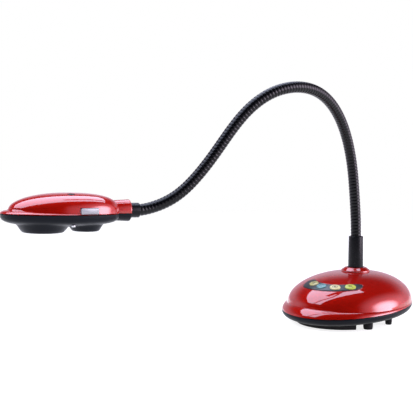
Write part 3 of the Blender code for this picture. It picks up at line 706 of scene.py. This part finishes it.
def make_dome():
    """The red upper shell: flange, crease and dome, with windows for the keypad and the ports."""
    turn = columns(BASE_COLUMNS)
    inset, rise = flange_inset(turn), flange_rise(turn)
    rings = [sloped(base_ring(inset + BASE_WALL, turn), GAP * 0.6)]
    for tuck, height in ((0.0009, 0.00020), (0.0003, 0.00022), (0.0, 0.00025)):
        rings.append(sloped(base_ring(tuck, turn), height))
    for share in np.linspace(0.06, 0.93, 14):
        sweep = share * math.pi / 2
        lip = 0.12 + 0.88 * math.sin(sweep)
        pull = FLANGE_SLANT * math.sin(sweep) + (1 - FLANGE_SLANT) * (1 - math.cos(sweep))
        rings.append(sloped(base_ring(inset * pull, turn), rise * lip))
    for sweep in np.radians(np.linspace(3.5, 90.0, 56)):
        rings.append(dome_point(turn, np.full(BASE_COLUMNS, math.cos(sweep))))
    for sweep in np.radians(np.linspace(90.0, 0.0, 20)):
        rings.append(dome_point(turn, np.full(BASE_COLUMNS, math.cos(sweep)), BASE_WALL))
    dome = ring_piece("dome", rings, "red_gloss", BASE, loop=True)
    carve(dome, band_strip("keypad_window", keypad_band(GAP), "red_gloss", -0.008, 0.008),
          band_strip("port_window", port_band(GAP), "red_gloss", -0.008, 0.008))
    settle(dome, "base", "base_top_shell")
    for name, band, radius in (("keypad_lip", keypad_band(0.0007), 0.00055),
                               ("port_lip", port_band(0.0006), 0.0004)):
        outline = evenly(band_outline(band, -radius * 0.55), 220)
        settle(tube(name, outline, radius, "red_gloss", closed=True), "base")


def bowl_ring(share, inset, turn):
    """The lower case's bowl: share runs from the rim, 0, over its rounded side to its middle, 1."""
    if share < DISH_CORNER:
        sweep = share / DISH_CORNER * math.pi / 2
        flat = 1 - DISH_PULL * (1 - math.cos(sweep))
        depth = math.sin(sweep) ** DISH_POWER
    else:
        flat = (1 - DISH_PULL) * (1 - share) / (1 - DISH_CORNER)
        depth = 1.0
    return sloped(base_ring(inset, turn) * flat, -GAP / 2 - DISH_DEPTH * depth)


def make_case():
    """The grey lower case, with a narrow shadow groove under the red shell."""
    turn = columns(BASE_COLUMNS)
    rings = [sloped(base_ring(0.004, turn), -GAP), sloped(base_ring(0.0008, turn), -GAP)]
    rings.append(sloped(base_ring(0.0003, turn), -GAP * 1.4))
    shares = np.concatenate([np.linspace(0.03, DISH_CORNER, 26), np.linspace(0.56, 0.98, 8)])
    rings += [bowl_ring(s, 0.0, turn) for s in shares]
    settle(ring_piece("case", rings, "grey_case", BASE), "base", "base_lower_case")


def make_front_pad():
    """The crescent of rubber under the front edge, flat on the table, with rounded lower edges."""
    spread_angle = math.radians(PAD_HALF_TURN)
    edge = [(0.0, 0.0012), (0.01, 0.0004), (0.035, 0.0)]
    rings = []
    for angle in np.linspace(-spread_angle, spread_angle, 65):
        outer, inner = base_ring(0.0, angle) * PAD_OUTER, base_ring(0.0, angle) * PAD_INNER
        foot = outer * 0.985
        across = inner - foot
        ring = [sloped(outer, -DISH_DEPTH - GAP)]
        ring += [foot + across * share + (0, 0, z) for share, z in edge]
        ring += [inner - across * share + (0, 0, z) for share, z in reversed(edge)]
        rings.append(ring + [sloped(inner, -DISH_DEPTH - GAP)])
    settle(ring_piece("front_pad", rings, "foot_rubber", BASE), "base", "front_foot_pad")


def make_small_feet():
    for node in sorted(n for n in frame["nodes"] if "_foot_" in n and n != "front_foot_pad"):
        low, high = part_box(node)
        radius = (high.x - low.x) / 2
        profile = rounded([(2 * AXIS_R, 0.0), (radius - 0.0005, 0.0), (radius - 0.0001, 0.0030),
                           (radius, high.z), (2 * AXIS_R, high.z)], 0.0006)
        where = Matrix.Translation((*middle_of(node).xy, 0.0))
        settle(lathe(node + "_look", profile, "foot_rubber", where, 40), "base", node)


def make_keypad():
    """The dark bezel with its four oval keys, each with a small printed pictogram."""
    bezel = band_strip("bezel", keypad_band(), "panel_grey", -0.0020, 0.0007, 0.0003, 25)
    bores = []
    for colour, degrees in KEY_ANGLES.items():
        angle = np.array(math.radians(degrees))
        where = dome_frame(angle, key_reach(angle))
        bore = [(KEY_HALF_LONG + GAP, KEY_HALF_SHORT + GAP, z) for z in (-0.01, 0.01)]
        bores.append(ovals("bore_" + colour, bore, "panel_grey", where))
        make_key(colour, where)
    settle(carve(bezel, *bores), "base", "keypad_panel")


def key_height(x, y):
    """Height of a key's domed top at a place in its own frame."""
    out = min(1.0, (x / KEY_HALF_LONG) ** 2 + (y / KEY_HALF_SHORT) ** 2)
    return KEY_SIDE + KEY_CROWN * (1 - out) ** 0.6


def make_key(colour, where):
    layers = [(KEY_HALF_LONG, KEY_HALF_SHORT, -0.0036)]
    for share in np.sin(np.linspace(math.pi / 2, 0.03, 14)):
        half_long, half_short = KEY_HALF_LONG * share, KEY_HALF_SHORT * share
        layers.append((half_long, half_short, key_height(half_long, 0.0)))
    key = ovals("key_" + colour + "_cap", layers, "key_" + colour, where)
    settle(key, "key_" + colour, "button_" + colour)
    for index, stroke in enumerate(PICTOGRAMS[colour]):
        path = np.array([(x, y, key_height(x, y)) for x, y in stroke])
        mark = ribbon("key_%s_mark_%d" % (colour, index + 1), path, MARK_HALF_WIDTH, "black_plastic", where)
        settle(mark, "key_" + colour)


def ribbon(name, path, half_width, slot, where):
    """A flat printed stroke, a hair above the surface that its path lies on."""
    along = np.gradient(path, axis=0)
    side = np.stack([-along[:, 1], along[:, 0], np.zeros(len(path))], 1)
    side /= np.linalg.norm(side, axis=1)[:, None]
    rings = []
    for p, s in zip(path, side):
        corners = ((1, MARK_PROUD), (-1, MARK_PROUD), (-1, -MARK_SUNK), (1, -MARK_SUNK))
        rings.append([p + s * half_width * way + (0, 0, z) for way, z in corners])
    return ring_piece(name, rings, slot, where)


def arc(cx, cy, radius, start, stop, steps=18):
    turn = np.radians(np.linspace(start, stop, steps))
    return [(cx + radius * math.cos(t), cy + radius * math.sin(t)) for t in turn]


def line(x0, y0, x1, y1, steps=6):
    return [(x0 + (x1 - x0) * t, y0 + (y1 - y0) * t) for t in np.linspace(0, 1, steps)]


PICTOGRAMS = {
    "yellow": [arc(0, 0, 0.0013, 0, 350)] + [
        line(0.0018 * math.cos(a), 0.0018 * math.sin(a), 0.0026 * math.cos(a), 0.0026 * math.sin(a))
        for a in np.radians(range(20, 380, 60))],
    "blue": [arc(0, 0, 0.0019, 40, 320), line(0.0015, 0.0012, 0.0022, 0.0022),
             line(0.0015, 0.0012, 0.0006, 0.0012)],
    "cream": [line(-0.0026, -0.0014, 0.0026, -0.0014), line(0.0026, -0.0014, 0.0026, 0.0014),
              line(0.0026, 0.0014, -0.0026, 0.0014), line(-0.0026, 0.0014, -0.0026, -0.0014),
              arc(0, 0, 0.0008, 0, 350)],
    "green": [arc(-0.0005, 0.0002, 0.0016, 0, 350), line(0.0007, -0.0010, 0.0023, -0.0021),
              line(-0.0012, 0.0002, 0.0002, 0.0002)],
}


def make_ports():
    """The plate of sockets in the dome's rear: a power jack, a USB socket and a video socket."""
    plate = band_strip("port_plate", port_band(), "panel_grey", -0.0026, -PORT_PLATE_DROP, 0.0, 25)
    settle(plate, "base", "rear_port_plate")
    where = dome_frame(np.array(math.pi), np.array(PORT_REACH), -PORT_PLATE_DROP)
    jack = at(where, PORT_X["power"])
    ring = rounded([(0.0028, 0.0001), (JACK_R, 0.0001), (JACK_R, 0.0018), (0.0029, 0.0018),
                    (0.0029, 0.0004)], 0.0003)
    settle(lathe("jack_ring", ring + [(0.0008, 0.0004)], "black_plastic", jack, 48), "base", "power_jack")
    pin = rounded([(0.0007, 0.0002), (0.0007, 0.0014), (0.0001, 0.0016)], 0.0003)
    settle(lathe("jack_pin", pin, "steel", jack, 20), "base")
    for name, (width, height) in SOCKETS.items():
        socket = at(where, PORT_X[name])
        shell = rounded_box(name + "_shell", (width, height, SOCKET_DEPTH), 0.0008, "steel",
                            at(socket, 0, 0, 0.0010))
        inside = (width - 2 * SOCKET_WALL, height - 2 * SOCKET_WALL, SOCKET_DEPTH)
        hollow = rounded_box(name + "_hollow", inside, 0.0005, "steel", at(socket, 0, 0, 0.0015), 0.0001)
        settle(carve(shell, hollow), "base", name + "_socket")
        tongue = rounded_box(name + "_tongue", (width * 0.72, height * 0.26, 0.0010), 0.0003,
                             "black_plastic", at(socket, 0, -height * 0.08, 0.0011), 0.0001)
        settle(tongue, "base")


def make_neck_root():
    """The red collar on the dome and the plain black boot that the gooseneck stands in."""
    foot = at(BASE, 0.0, NECK_Y, 0.0)
    low, bore = DOME_TOP - 0.0012, BOOT_BOTTOM_R + 0.0004
    foot_r, top_r = COLLAR_BOTTOM_R + 0.0002, COLLAR_TOP_R + 0.0002
    profile = rounded([(bore, low), (foot_r, low), (foot_r, DOME_TOP + 0.0016),
                       (foot_r - 0.0016, DOME_TOP + 0.0026), (top_r, COLLAR_TOP), (bore, COLLAR_TOP),
                       (bore, low)], 0.0011, 6)
    settle(lathe("root_collar", profile, "red_gloss", foot, 96), "base", "neck_collar")
    bore = NECK_R + 0.0003
    profile = rounded([(bore, BOOT_BOTTOM), (BOOT_BOTTOM_R, BOOT_BOTTOM), (BOOT_TOP_R, BOOT_TOP),
                       (bore, BOOT_TOP), (bore, BOOT_BOTTOM)], 0.0007, 5)
    settle(lathe("root_boot", profile, "black_plastic", foot, 72), "base", "neck_boot")


def screw_head(name, where, radius, node, body):
    """A pan-head screw with a cross recess, its head towards the frame's -Z."""
    profile = rounded([(AXIS_R, -SCREW_HEIGHT), (radius * 0.8, -SCREW_HEIGHT), (radius, -0.0006),
                       (radius, 0.0), (AXIS_R, 0.0)], 0.0005)
    head = lathe(name, profile, "steel", where, 40)
    slots = [rounded_box(name + "_slot", (radius * along, radius * across, 0.0020), 0.0002, "steel",
                         at(where, 0, 0, -SCREW_HEIGHT), 0.0001)
             for along, across in ((1.1, 0.28), (0.28, 1.1))]
    settle(carve(head, *slots), body, node)


def make_base_screws():
    for index in (1, 2, 3):
        node = "base_screw_%d" % index
        low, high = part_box(node)
        where = Matrix.Translation((*middle_of(node).xy, low.z + SCREW_HEIGHT))
        screw_head(node + "_look", where, (high.x - low.x) / 2, node, "base")


# ---- gooseneck


def natural_spline(points, count):
    """Evenly parametrised points of a smooth curve through the given ones."""
    pts = np.array([tuple(p) for p in points])
    knots = lengths_along(pts)
    n = len(pts)
    h = np.diff(knots)
    system = np.eye(n)
    right = np.zeros((n, 3))
    for i in range(1, n - 1):
        system[i, i - 1:i + 2] = (h[i - 1], 2 * (h[i - 1] + h[i]), h[i])
        right[i] = 6 * ((pts[i + 1] - pts[i]) / h[i] - (pts[i] - pts[i - 1]) / h[i - 1])
    bend = np.linalg.solve(system, right)
    u = np.linspace(0.0, knots[-1], count)
    i = np.clip(np.searchsorted(knots, u, side="right") - 1, 0, n - 2)
    a, b, step = (knots[i + 1] - u)[:, None], (u - knots[i])[:, None], h[i][:, None]
    curve = (bend[i] * a ** 3 + bend[i + 1] * b ** 3) / (6 * step)
    curve += (pts[i] / step - bend[i] * step / 6) * a
    return curve + (pts[i + 1] / step - bend[i + 1] * step / 6) * b


HINGES = [j for j in frame["joints"] if j["name"].startswith("neck_")]
HEAD_TURN = turned(HEAD_HEADING, "Z") @ turned(-HEAD_NOSE_UP, "Y")
HEAD_AXIS = HEAD_TURN @ Vector((1.0, 0.0, 0.0))
FERRULE = Vector(HINGES[-1]["pos_m"]) + HEAD_AXIS * LAST_JOINT_TO_FERRULE
HEAD = Matrix.Translation(FERRULE) @ HEAD_TURN @ Matrix.Translation((0.0, 0.0, -FERRULE_Z))


def neck_route():
    """The gooseneck's centre line at even steps, and the length along it of each hinge."""
    foot = BASE.translation + Vector((0.0, NECK_Y, 0.0))
    hinges = [Vector(j["pos_m"]) for j in HINGES]
    heights = (NECK_START_Z, (NECK_START_Z + hinges[0].z) / 2)
    points = [foot + Vector((0.0, 0.0, z)) for z in heights] + hinges[:-1]
    points.append(hinges[-1] + Vector((0.0, 0.0, MOUTH_RISE)))
    curve = natural_spline(points + [FERRULE, FERRULE + HEAD_AXIS * TIP_IN_FERRULE], 6000)
    length = lengths_along(curve)[-1]
    stops = np.linspace(0.0, length, int(length / COIL_PITCH * RINGS_PER_COIL))
    even = resampled(curve, stops)
    near = [stops[np.argmin(np.linalg.norm(even - np.array(h), axis=1))] for h in hinges]
    return even, stops, np.array(near)


def carried_sides(path):
    """A side direction at each point of a path that turns with it but doesn't twist."""
    along = np.gradient(path, axis=0)
    along /= np.linalg.norm(along, axis=1)[:, None]
    side = np.cross(along[0], (0.0, 1.0, 0.0))
    sides = []
    for direction in along:
        side = side - direction * np.dot(side, direction)
        side /= np.linalg.norm(side)
        sides.append(side)
    return np.array(sides), np.cross(along, sides)


def make_gooseneck():
    """The wound steel neck: one helical ridge, in one piece per hinge, each running across it; the pieces ride on
    no body.
    """
    path, stops, hinges = neck_route()
    side, other = carried_sides(path)
    turn = columns(NECK_SIDES)
    phase = (stops[:, None] / COIL_PITCH - turn / TAU) % 1.0
    radius = NECK_R - GROOVE_DEPTH * np.abs(2 * phase - 1) ** GROOVE_POWER
    rings = path[:, None] + radius[..., None] * (side[:, None] * np.cos(turn)[:, None]
                                                 + other[:, None] * np.sin(turn)[:, None])
    cuts = np.concatenate([[0.0], (hinges[1:] + hinges[:-1]) / 2, [stops[-1]]])
    edges = np.searchsorted(stops, cuts[:-1]).tolist() + [len(stops) - 1]
    for index, joint in enumerate(HINGES):
        first, last = edges[index], edges[index + 1]
        verts, faces = rings_to_mesh(rings[first:last + 1], capped=False)
        coil = piece("neck_coil_%02d" % (index + 1), verts, faces, "gooseneck_black", 80.0)
        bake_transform(coil)
        links = ["neck_link_00", "neck_link_01"] if index == 0 else ["neck_link_%02d" % (index + 1)]
        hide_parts(*links)


# ---- head


def head_ring(inset, angle):
    """Points of the head's oval, whose nose, angle 0, faces +X and whose rear half is blunter."""
    c, s = np.cos(angle), np.sin(angle)
    bend = 2 / np.where(c >= 0, 2.0, HEAD_REAR_POWER)
    x = HEAD_MIDDLE_X + (HEAD_HALF_LENGTH - inset) * np.sign(c) * np.abs(c) ** bend
    return np.stack([x, (HEAD_HALF_WIDTH - inset) * np.sign(s) * np.abs(s) ** bend, np.zeros_like(x)], -1)


def head_rho(x, y):
    """0 at the middle of the head's oval and 1 on it."""
    along = (x - HEAD_MIDDLE_X) / HEAD_HALF_LENGTH
    power = np.where(along >= 0, 2.0, HEAD_REAR_POWER)
    return (np.abs(along) ** power + np.abs(y / HEAD_HALF_WIDTH) ** power) ** (1 / power)


def head_flange(angle):
    """The flange's width and height, which fade from the nose to the rear."""
    share = fade(angle, HEAD_FLANGE_FADE)
    return HEAD_REAR_FLANGE + HEAD_FLANGE_WIDTH * share, HEAD_REAR_RISE + HEAD_FLANGE_HEIGHT * share


def head_top_ring(angle, reach, inward=0.0):
    """A ring of the head's dome: reach is 0 at its apex and 1 at the crease above the flange."""
    inset, rise = head_flange(angle)
    foot = head_ring(inset + inward, angle)
    apex = np.array([HEAD_APEX_X, 0.0, 0.0])
    flat = apex + (foot - apex) * reach
    power = HEAD_CROWN[0] - HEAD_CROWN[1] * np.cos(angle)
    crown = np.clip(1 - reach ** power, 0, None) ** (1 / power)
    flat[..., 2] = rise + (HEAD_TOP - inward - rise) * crown
    return flat


def smooth_step(value):
    t = np.clip(value, 0.0, 1.0)
    return t * t * (3 - 2 * t)


def head_under_z(x, y):
    """The lower shell's underside: a shallow dish with a lens boss and a lamp boss."""
    rho = np.minimum(1.0, head_rho(x, y))
    z = -HEAD_DISH_DEPTH * (1 - rho ** HEAD_DISH_POWER) ** (1 / HEAD_DISH_POWER)
    for boss_x, flat_r, flare_r, flat_z in (LENS_BOSS, LAMP_BOSS):
        share = (flare_r - np.hypot(x - boss_x, y)) / (flare_r - flat_r)
        z = z + (flat_z - z) * smooth_step(share)
    return z


def microphone_frame():
    return at(HEAD, *MICROPHONE_AT) @ turned(MICROPHONE_TILT, "X")


def make_head_top():
    """The red upper shell of the head, with a thin flange at its nose and a window for the switch."""
    turn = columns(HEAD_COLUMNS)
    inset, rise = head_flange(turn)
    rings = [head_ring(inset + HEAD_WALL, turn) + (0, 0, GAP), head_ring(0.0006, turn) + (0, 0, GAP * 0.7),
             head_ring(0.0001, turn) + (0, 0, GAP * 1.2)]
    for share in np.linspace(0.12, 0.92, 10):
        sweep = share * math.pi / 2
        ring = head_ring(inset * (1 - math.cos(sweep)), turn)
        ring[:, 2] = np.maximum(rise * math.sin(sweep), GAP * 1.6)
        rings.append(ring)
    for sweep in np.radians(np.concatenate([np.linspace(4.0, 84.0, 44), [87.0, 89.2]])):
        rings.append(head_top_ring(turn, math.cos(sweep)))
    sweeps = np.radians(np.linspace(88.0, 0.0, 18))
    inner = [head_top_ring(turn, math.cos(sweep), HEAD_WALL) for sweep in sweeps]
    top = ring_piece("head_top", inner + rings, "red_gloss", HEAD)
    window = (SWITCH_SIZE[0] + 2 * GAP, 0.016, SWITCH_SIZE[2] + 2 * GAP)
    carve(top, rounded_box("switch_window", window, 0.0002, "red_gloss", switch_frame(), 0.0001),
          lathe("microphone_hole", [(MICROPHONE_R + GAP, z) for z in (-0.006, 0.003)], "red_gloss",
                microphone_frame(), 48))
    settle(top, "head", "head_top_shell")


def switch_frame():
    return at(HEAD, *SWITCH_AT) @ turned(SWITCH_YAW, "Z")


def make_switch():
    """The pale lamp switch in the head's side, with one rounded upper corner."""
    long, deep, tall = SWITCH_SIZE
    upright = switch_frame() @ turned(-90.0, "X")
    corners = (0.0004, 0.0004, 0.0004, SWITCH_CORNER)
    key = rounded_box("lamp_switch_cap", (long, tall, deep), corners, "switch_white", upright, 0.0005)
    settle(key, "lamp_key", "lamp_switch")


def make_head_bottom():
    """The grey lower shell of the head, with its two bosses and the bores in them."""
    turn = columns(HEAD_COLUMNS)
    reaches = np.concatenate([[1.0, 0.995, 0.985, 0.97], np.linspace(0.95, 0.03, 74)])
    centre = np.array([HEAD_MIDDLE_X, 0.0, 0.0])
    rings = [head_ring(HEAD_WALL, turn) + (0, 0, -GAP), head_ring(0.0006, turn) + (0, 0, -GAP)]
    for reach in reaches:
        ring = centre + (head_ring(0.0, turn) - centre) * reach
        ring[:, 2] = np.minimum(head_under_z(ring[:, 0], ring[:, 1]), -GAP * 1.5)
        rings.append(ring)
    bottom = ring_piece("head_bottom", rings, "grey_case", HEAD)
    cutters = []
    for boss, radius in ((LENS_BOSS, WINDOW_R), (LAMP_BOSS, LAMP_WINDOW_R)):
        mouth, low = radius + 3 * GAP, boss[3]
        bore = [(mouth, low - 0.01), (mouth, low + 0.0006), (radius + GAP, low + 0.0012),
                (radius + GAP, low + 0.0090)]
        cutters.append(lathe("window_bore", bore, "grey_case", at(HEAD, boss[0])))
    settle(carve(bottom, *cutters), "head", "head_lower_shell")


def make_head_joint():
    """The split collar behind the head and the black ferrule that the gooseneck ends in."""
    axis = at(HEAD, 0.0, 0.0, FERRULE_Z) @ turned(90.0, "Y")
    bore = NECK_R + 0.0003
    profile = rounded([(bore, 0.0), (FERRULE_R, 0.0), (FERRULE_R, FERRULE_LENGTH), (bore, FERRULE_LENGTH),
                       (bore, 0.0)], 0.0010, 4)
    settle(lathe("ferrule", profile, "black_plastic", axis, 64), "head", "head_ferrule")
    for name, node, slot, side in (("collar_top", "head_collar_upper", "red_gloss", 1.0),
                                   ("collar_bottom", "head_collar_lower", "grey_case", -1.0)):
        settle(half_collar(name, slot, side), "head", node)


def half_collar(name, slot, side):
    """The half of the collar above or below the parting plane, with rounded ends."""
    inner_r = FERRULE_R + 0.0004
    inside = COLLAR_TO + COLLAR_IN_HEAD
    outline = rounded([(COLLAR_FROM, inner_r), (COLLAR_FROM, COLLAR_R), (inside, COLLAR_R - 0.001),
                       (inside, inner_r)], 0.0014, 6)
    steps = 40
    rings = []
    for k in range(steps + 1):
        ring = []
        for x, radius in outline:
            low = math.asin((FERRULE_Z - side * GAP * 0.6) / radius) * -side
            turn = low + (math.pi - 2 * low) * k / steps
            ring.append((x, radius * math.cos(turn), FERRULE_Z + side * radius * math.sin(turn)))
        rings.append(ring)
    return ring_piece(name, rings, slot, HEAD)


def window_bezel(name, radius, overlap, low, lip, where, sides):
    """The ring that holds a window in its bore and overlaps the window's edge."""
    inner, outer, top = radius - overlap, radius + 0.0007, low + 0.0012
    profile = rounded([(inner, top), (inner, low + lip), (outer, low + lip), (outer, top),
                       (inner, top)], 0.0003)
    settle(lathe(name, profile, "black_plastic", where, sides), "head")


def domed(radius, foot, rise, back, steps):
    """The profile of a disc whose lower face bulges by rise from the height foot, down to its axis."""
    bulge = [(radius * math.sin(t), foot - rise * math.cos(t)) for t in np.linspace(0.03, math.pi / 2, steps)]
    return bulge + [(radius, back), (AXIS_R, back)]


def make_optics():
    """The lens and the lamp in the head's underside, each behind a window with a bezel."""
    where, low = at(HEAD, LENS_BOSS[0]), LENS_BOSS[3]
    window_bezel("lens_bezel", WINDOW_R, 0.0010, low, 0.0001, where, 72)
    edge = WINDOW_R - 0.0011
    glass = rounded([(AXIS_R, low + 0.0007), (edge, low + 0.0007), (edge, low + 0.0016),
                     (AXIS_R, low + 0.0016)], 0.0002)
    settle(lathe("lens_glass", glass, "lens_glass", where), "head", "lens_window")
    steps = [(0.0105, low + 0.0022), (0.0105, -0.0040), (0.0060, -0.0040), (0.0060, low + 0.0062),
             (0.0074, low + 0.0062), (0.0074, low + 0.0042), (0.0088, low + 0.0042), (0.0088, low + 0.0022),
             (0.0105, low + 0.0022)]
    settle(lathe("lens_tube", rounded(steps, 0.0002, 2), "black_plastic", where), "head", "lens_barrel")
    front = domed(0.0066, low + 0.0062, 0.0020, low + 0.0075, 12)
    settle(lathe("lens_front", front, "lens_glass", where, 48), "head", "lens_element")
    where, low = at(HEAD, LAMP_BOSS[0]), LAMP_BOSS[3]
    window_bezel("lamp_bezel", LAMP_WINDOW_R, 0.0006, low, 0.0002, where, 64)
    cover = domed(0.0073, low + 0.0012, 0.0006, low + 0.0018, 10)
    settle(lathe("lamp_cover", cover, "lamp_white", where, 48), "head", "lamp_diffuser")


def make_microphone():
    """A small black grille flush with the head's top, near its apex."""
    where = microphone_frame()
    profile = rounded([(AXIS_R, -0.0016), (MICROPHONE_R, -0.0016), (MICROPHONE_R, -0.0003),
                       (MICROPHONE_R - 0.0006, 0.0), (AXIS_R, 0.0)], 0.0003)
    disc = lathe("microphone_cap", profile, "black_plastic", where, 48)
    hole = [(GRILLE_HOLE_R, -0.0006), (GRILLE_HOLE_R, 0.002)]
    holes = []
    for radius, count in ((0.0, 1), (0.0011, 6), (0.0021, 12)):
        for a in columns(count):
            spot = at(where, radius * math.cos(a), radius * math.sin(a))
            holes.append(lathe("grille_hole", hole, "black_plastic", spot, 10))
    settle(carve(disc, *holes), "head", "microphone_grille")


def make_head_screws():
    for index in (1, 2):
        node = "head_screw_%d" % index
        middle = HEAD.inverted() @ middle_of(node)
        z = float(head_under_z(np.array(middle.x), np.array(middle.y)))
        screw_head(node + "_look", at(HEAD, middle.x, middle.y, z + 0.0002), 0.0023, node, "head")


# ---- what the CAD solids keep


def dress_cad_nodes():
    """Each CAD solid gets the finish of its slot, which shows on the inner ones that stay."""
    for entry in frame["record"]["subparts"]:
        obj = frame["nodes"][entry["node"]]
        obj.data.materials.clear()
        obj.data.materials.append(FINISHES[entry["material_slot"]])


# ---- stage, light, camera


def toward(azimuth, elevation):
    """A direction seen from the object: azimuth 0 is away from the camera and 90 to its right."""
    return turned(CAMERA_TURN - azimuth, "Z") @ turned(elevation, "X") @ Vector((0.0, 1.0, 0.0))


def studio(position):
    """A place given as right, forward and up from the base's middle, as the camera faces."""
    return BASE.translation + turned(CAMERA_TURN, "Z") @ Vector(position)


def make_stage():
    """A plain pale floor that fades into the white backdrop."""
    white = (1.0, 1.0, 1.0, 1.0)
    made, add, join, coords = shader_graph("floor_white", Roughness=0.9, Specular_IOR_Level=0.0,
                                           Emission_Color=white, Emission_Strength=FLOOR_GLOW)
    join(tinted(add, noise(add, coords, 6.0), (0.40, 0.40, 0.40), (0.43, 0.43, 0.43)), "Base Color")
    away = add("ShaderNodeVectorMath", {1: tuple(BASE.translation)}, {0: coords}, operation="DISTANCE")
    join(spread(add, away.outputs["Value"], 1.0, 0.0, FLOOR_SOLID_R, FLOOR_R), "Alpha")
    centre = np.array(BASE.translation)
    edge = [centre + FLOOR_R * np.array((math.cos(a), math.sin(a), 0.0)) for a in columns(64)]
    meshed("floor", edge, [tuple(range(64))], made)


def make_world():
    """A white studio: a bright sweep behind and under the object, glows at its sides, dark elsewhere."""
    world = bpy.data.worlds.new("studio")
    bpy.context.scene.world = world
    world.use_nodes = True
    tree = world.node_tree
    add = node_adder(tree)

    def ramp(value, start, stop, strength):
        values = {"From Min": start, "From Max": stop, "To Min": 0.0, "To Max": strength}
        smooth_range = add("ShaderNodeMapRange", values, {"Value": value}, interpolation_type="SMOOTHSTEP")
        return smooth_range.outputs[0]

    def math_node(operation, first, second):
        return add("ShaderNodeMath", {}, {0: first, 1: second}, operation=operation).outputs[0]

    direction = add("ShaderNodeTexCoord").outputs["Generated"]

    def facing(azimuth, elevation):
        values = {1: tuple(toward(azimuth, elevation))}
        return add("ShaderNodeVectorMath", values, {0: direction}, operation="DOT_PRODUCT").outputs["Value"]

    def cosine(degrees):
        return math.cos(math.radians(degrees))

    height = add("ShaderNodeSeparateXYZ", {}, {"Vector": direction}).outputs["Z"]
    total = ramp(height, 0.02, -0.02, SWEEP_UNDER)
    fade_from, fade_to = (math.sin(math.radians(angle)) for angle in SWEEP_FADE)
    low = ramp(height, fade_to, fade_from, 1.0)
    sweep = math_node("MULTIPLY", low, ramp(facing(0, 0), cosine(95), cosine(40), SWEEP_BEHIND))
    total = math_node("ADD", total, sweep)
    for azimuth, elevation, outer, inner, strength in GLOWS:
        glow = ramp(facing(azimuth, elevation), cosine(outer), cosine(inner), strength)
        total = math_node("ADD", total, glow)
    total = add("ShaderNodeMath", {1: STUDIO_DARK}, {0: total}, operation="ADD").outputs[0]
    studio_light = tree.nodes["Background"]
    tree.links.new(total, studio_light.inputs["Strength"])
    studio_light.inputs["Color"].default_value = (*STUDIO_TINT, 1.0)
    backdrop = add("ShaderNodeBackground", {"Color": (1.0, 1.0, 1.0, 1.0), "Strength": 1.0})
    mix = add("ShaderNodeMixShader", {}, {"Fac": add("ShaderNodeLightPath").outputs["Is Camera Ray"],
                                         1: studio_light.outputs[0], 2: backdrop.outputs[0]})
    tree.links.new(mix.outputs["Shader"], tree.nodes["World Output"].inputs["Surface"])


def soft_light(name, matrix, size, radiance, colour=(1.0, 1.0, 1.0)):
    """A rectangular soft box that shines along its frame's -Z with an even radiance."""
    data = bpy.data.lights.new(name, "AREA")
    data.shape = "RECTANGLE"
    data.size = size[0]
    data.size_y = size[1]
    data.energy = radiance * math.pi * size[0] * size[1]
    data.color = colour
    light = shown(name, data)
    light.matrix_world = matrix
    light.visible_camera = False
    return light


def make_lights():
    """One long soft box overhead, in two panes with a narrow seam between them, and a fill at each side."""
    frame_of_box = Matrix.Translation(studio(BOX_AT)) @ turned(CAMERA_TURN + BOX_TURN, "Z")
    near, far = BOX_SIZE[1] * BOX_SEAM_SHARE, BOX_SIZE[1] * (1 - BOX_SEAM_SHARE)
    low = -BOX_SIZE[1] / 2
    soft_light("box_near", at(frame_of_box, 0.0, low + near / 2 - BOX_SEAM / 2, 0.0),
               (BOX_SIZE[0], near - BOX_SEAM), BOX_RADIANCE, BOX_TINT)
    soft_light("box_far", at(frame_of_box, 0.0, low + near + far / 2 + BOX_SEAM / 2, 0.0),
               (BOX_SIZE[0], far - BOX_SEAM), BOX_RADIANCE, BOX_TINT)
    soft_light("box_bridge", at(frame_of_box, -BOX_SEAM_LENGTH / 2, low + near, 0.0),
               (BOX_SIZE[0] - BOX_SEAM_LENGTH, 2 * BOX_SEAM), BOX_RADIANCE, BOX_TINT)
    for index, place in enumerate(FILLS):
        spot = studio(place)
        facing = (BASE.translation - spot).to_track_quat("-Z", "Y").to_matrix().to_4x4()
        fill = soft_light("side_fill_%d" % (index + 1), Matrix.Translation(spot) @ facing,
                          (FILL_SIZE, FILL_SIZE), FILL_RADIANCE)
        fill.visible_glossy = False


def make_camera():
    data = bpy.data.cameras.new("camera")
    data.lens = CAMERA_LENS
    data.sensor_width = 36.0
    camera = shown("camera", data)
    camera.location = studio((-CAMERA_LEFT, -CAMERA_BACK, CAMERA_UP))
    camera.rotation_euler = (math.radians(90.0 - CAMERA_DOWN), 0.0, math.radians(CAMERA_TURN))
    bpy.context.scene.camera = camera


make_dome()
make_case()
make_front_pad()
make_small_feet()
make_keypad()
make_ports()
make_neck_root()
make_base_screws()
make_gooseneck()
make_head_top()
make_head_bottom()
make_switch()
make_head_joint()
make_optics()
make_microphone()
make_head_screws()
dress_cad_nodes()
make_stage()
make_world()
make_lights()
make_camera()
bpy.context.scene.view_settings.view_transform = "Standard"
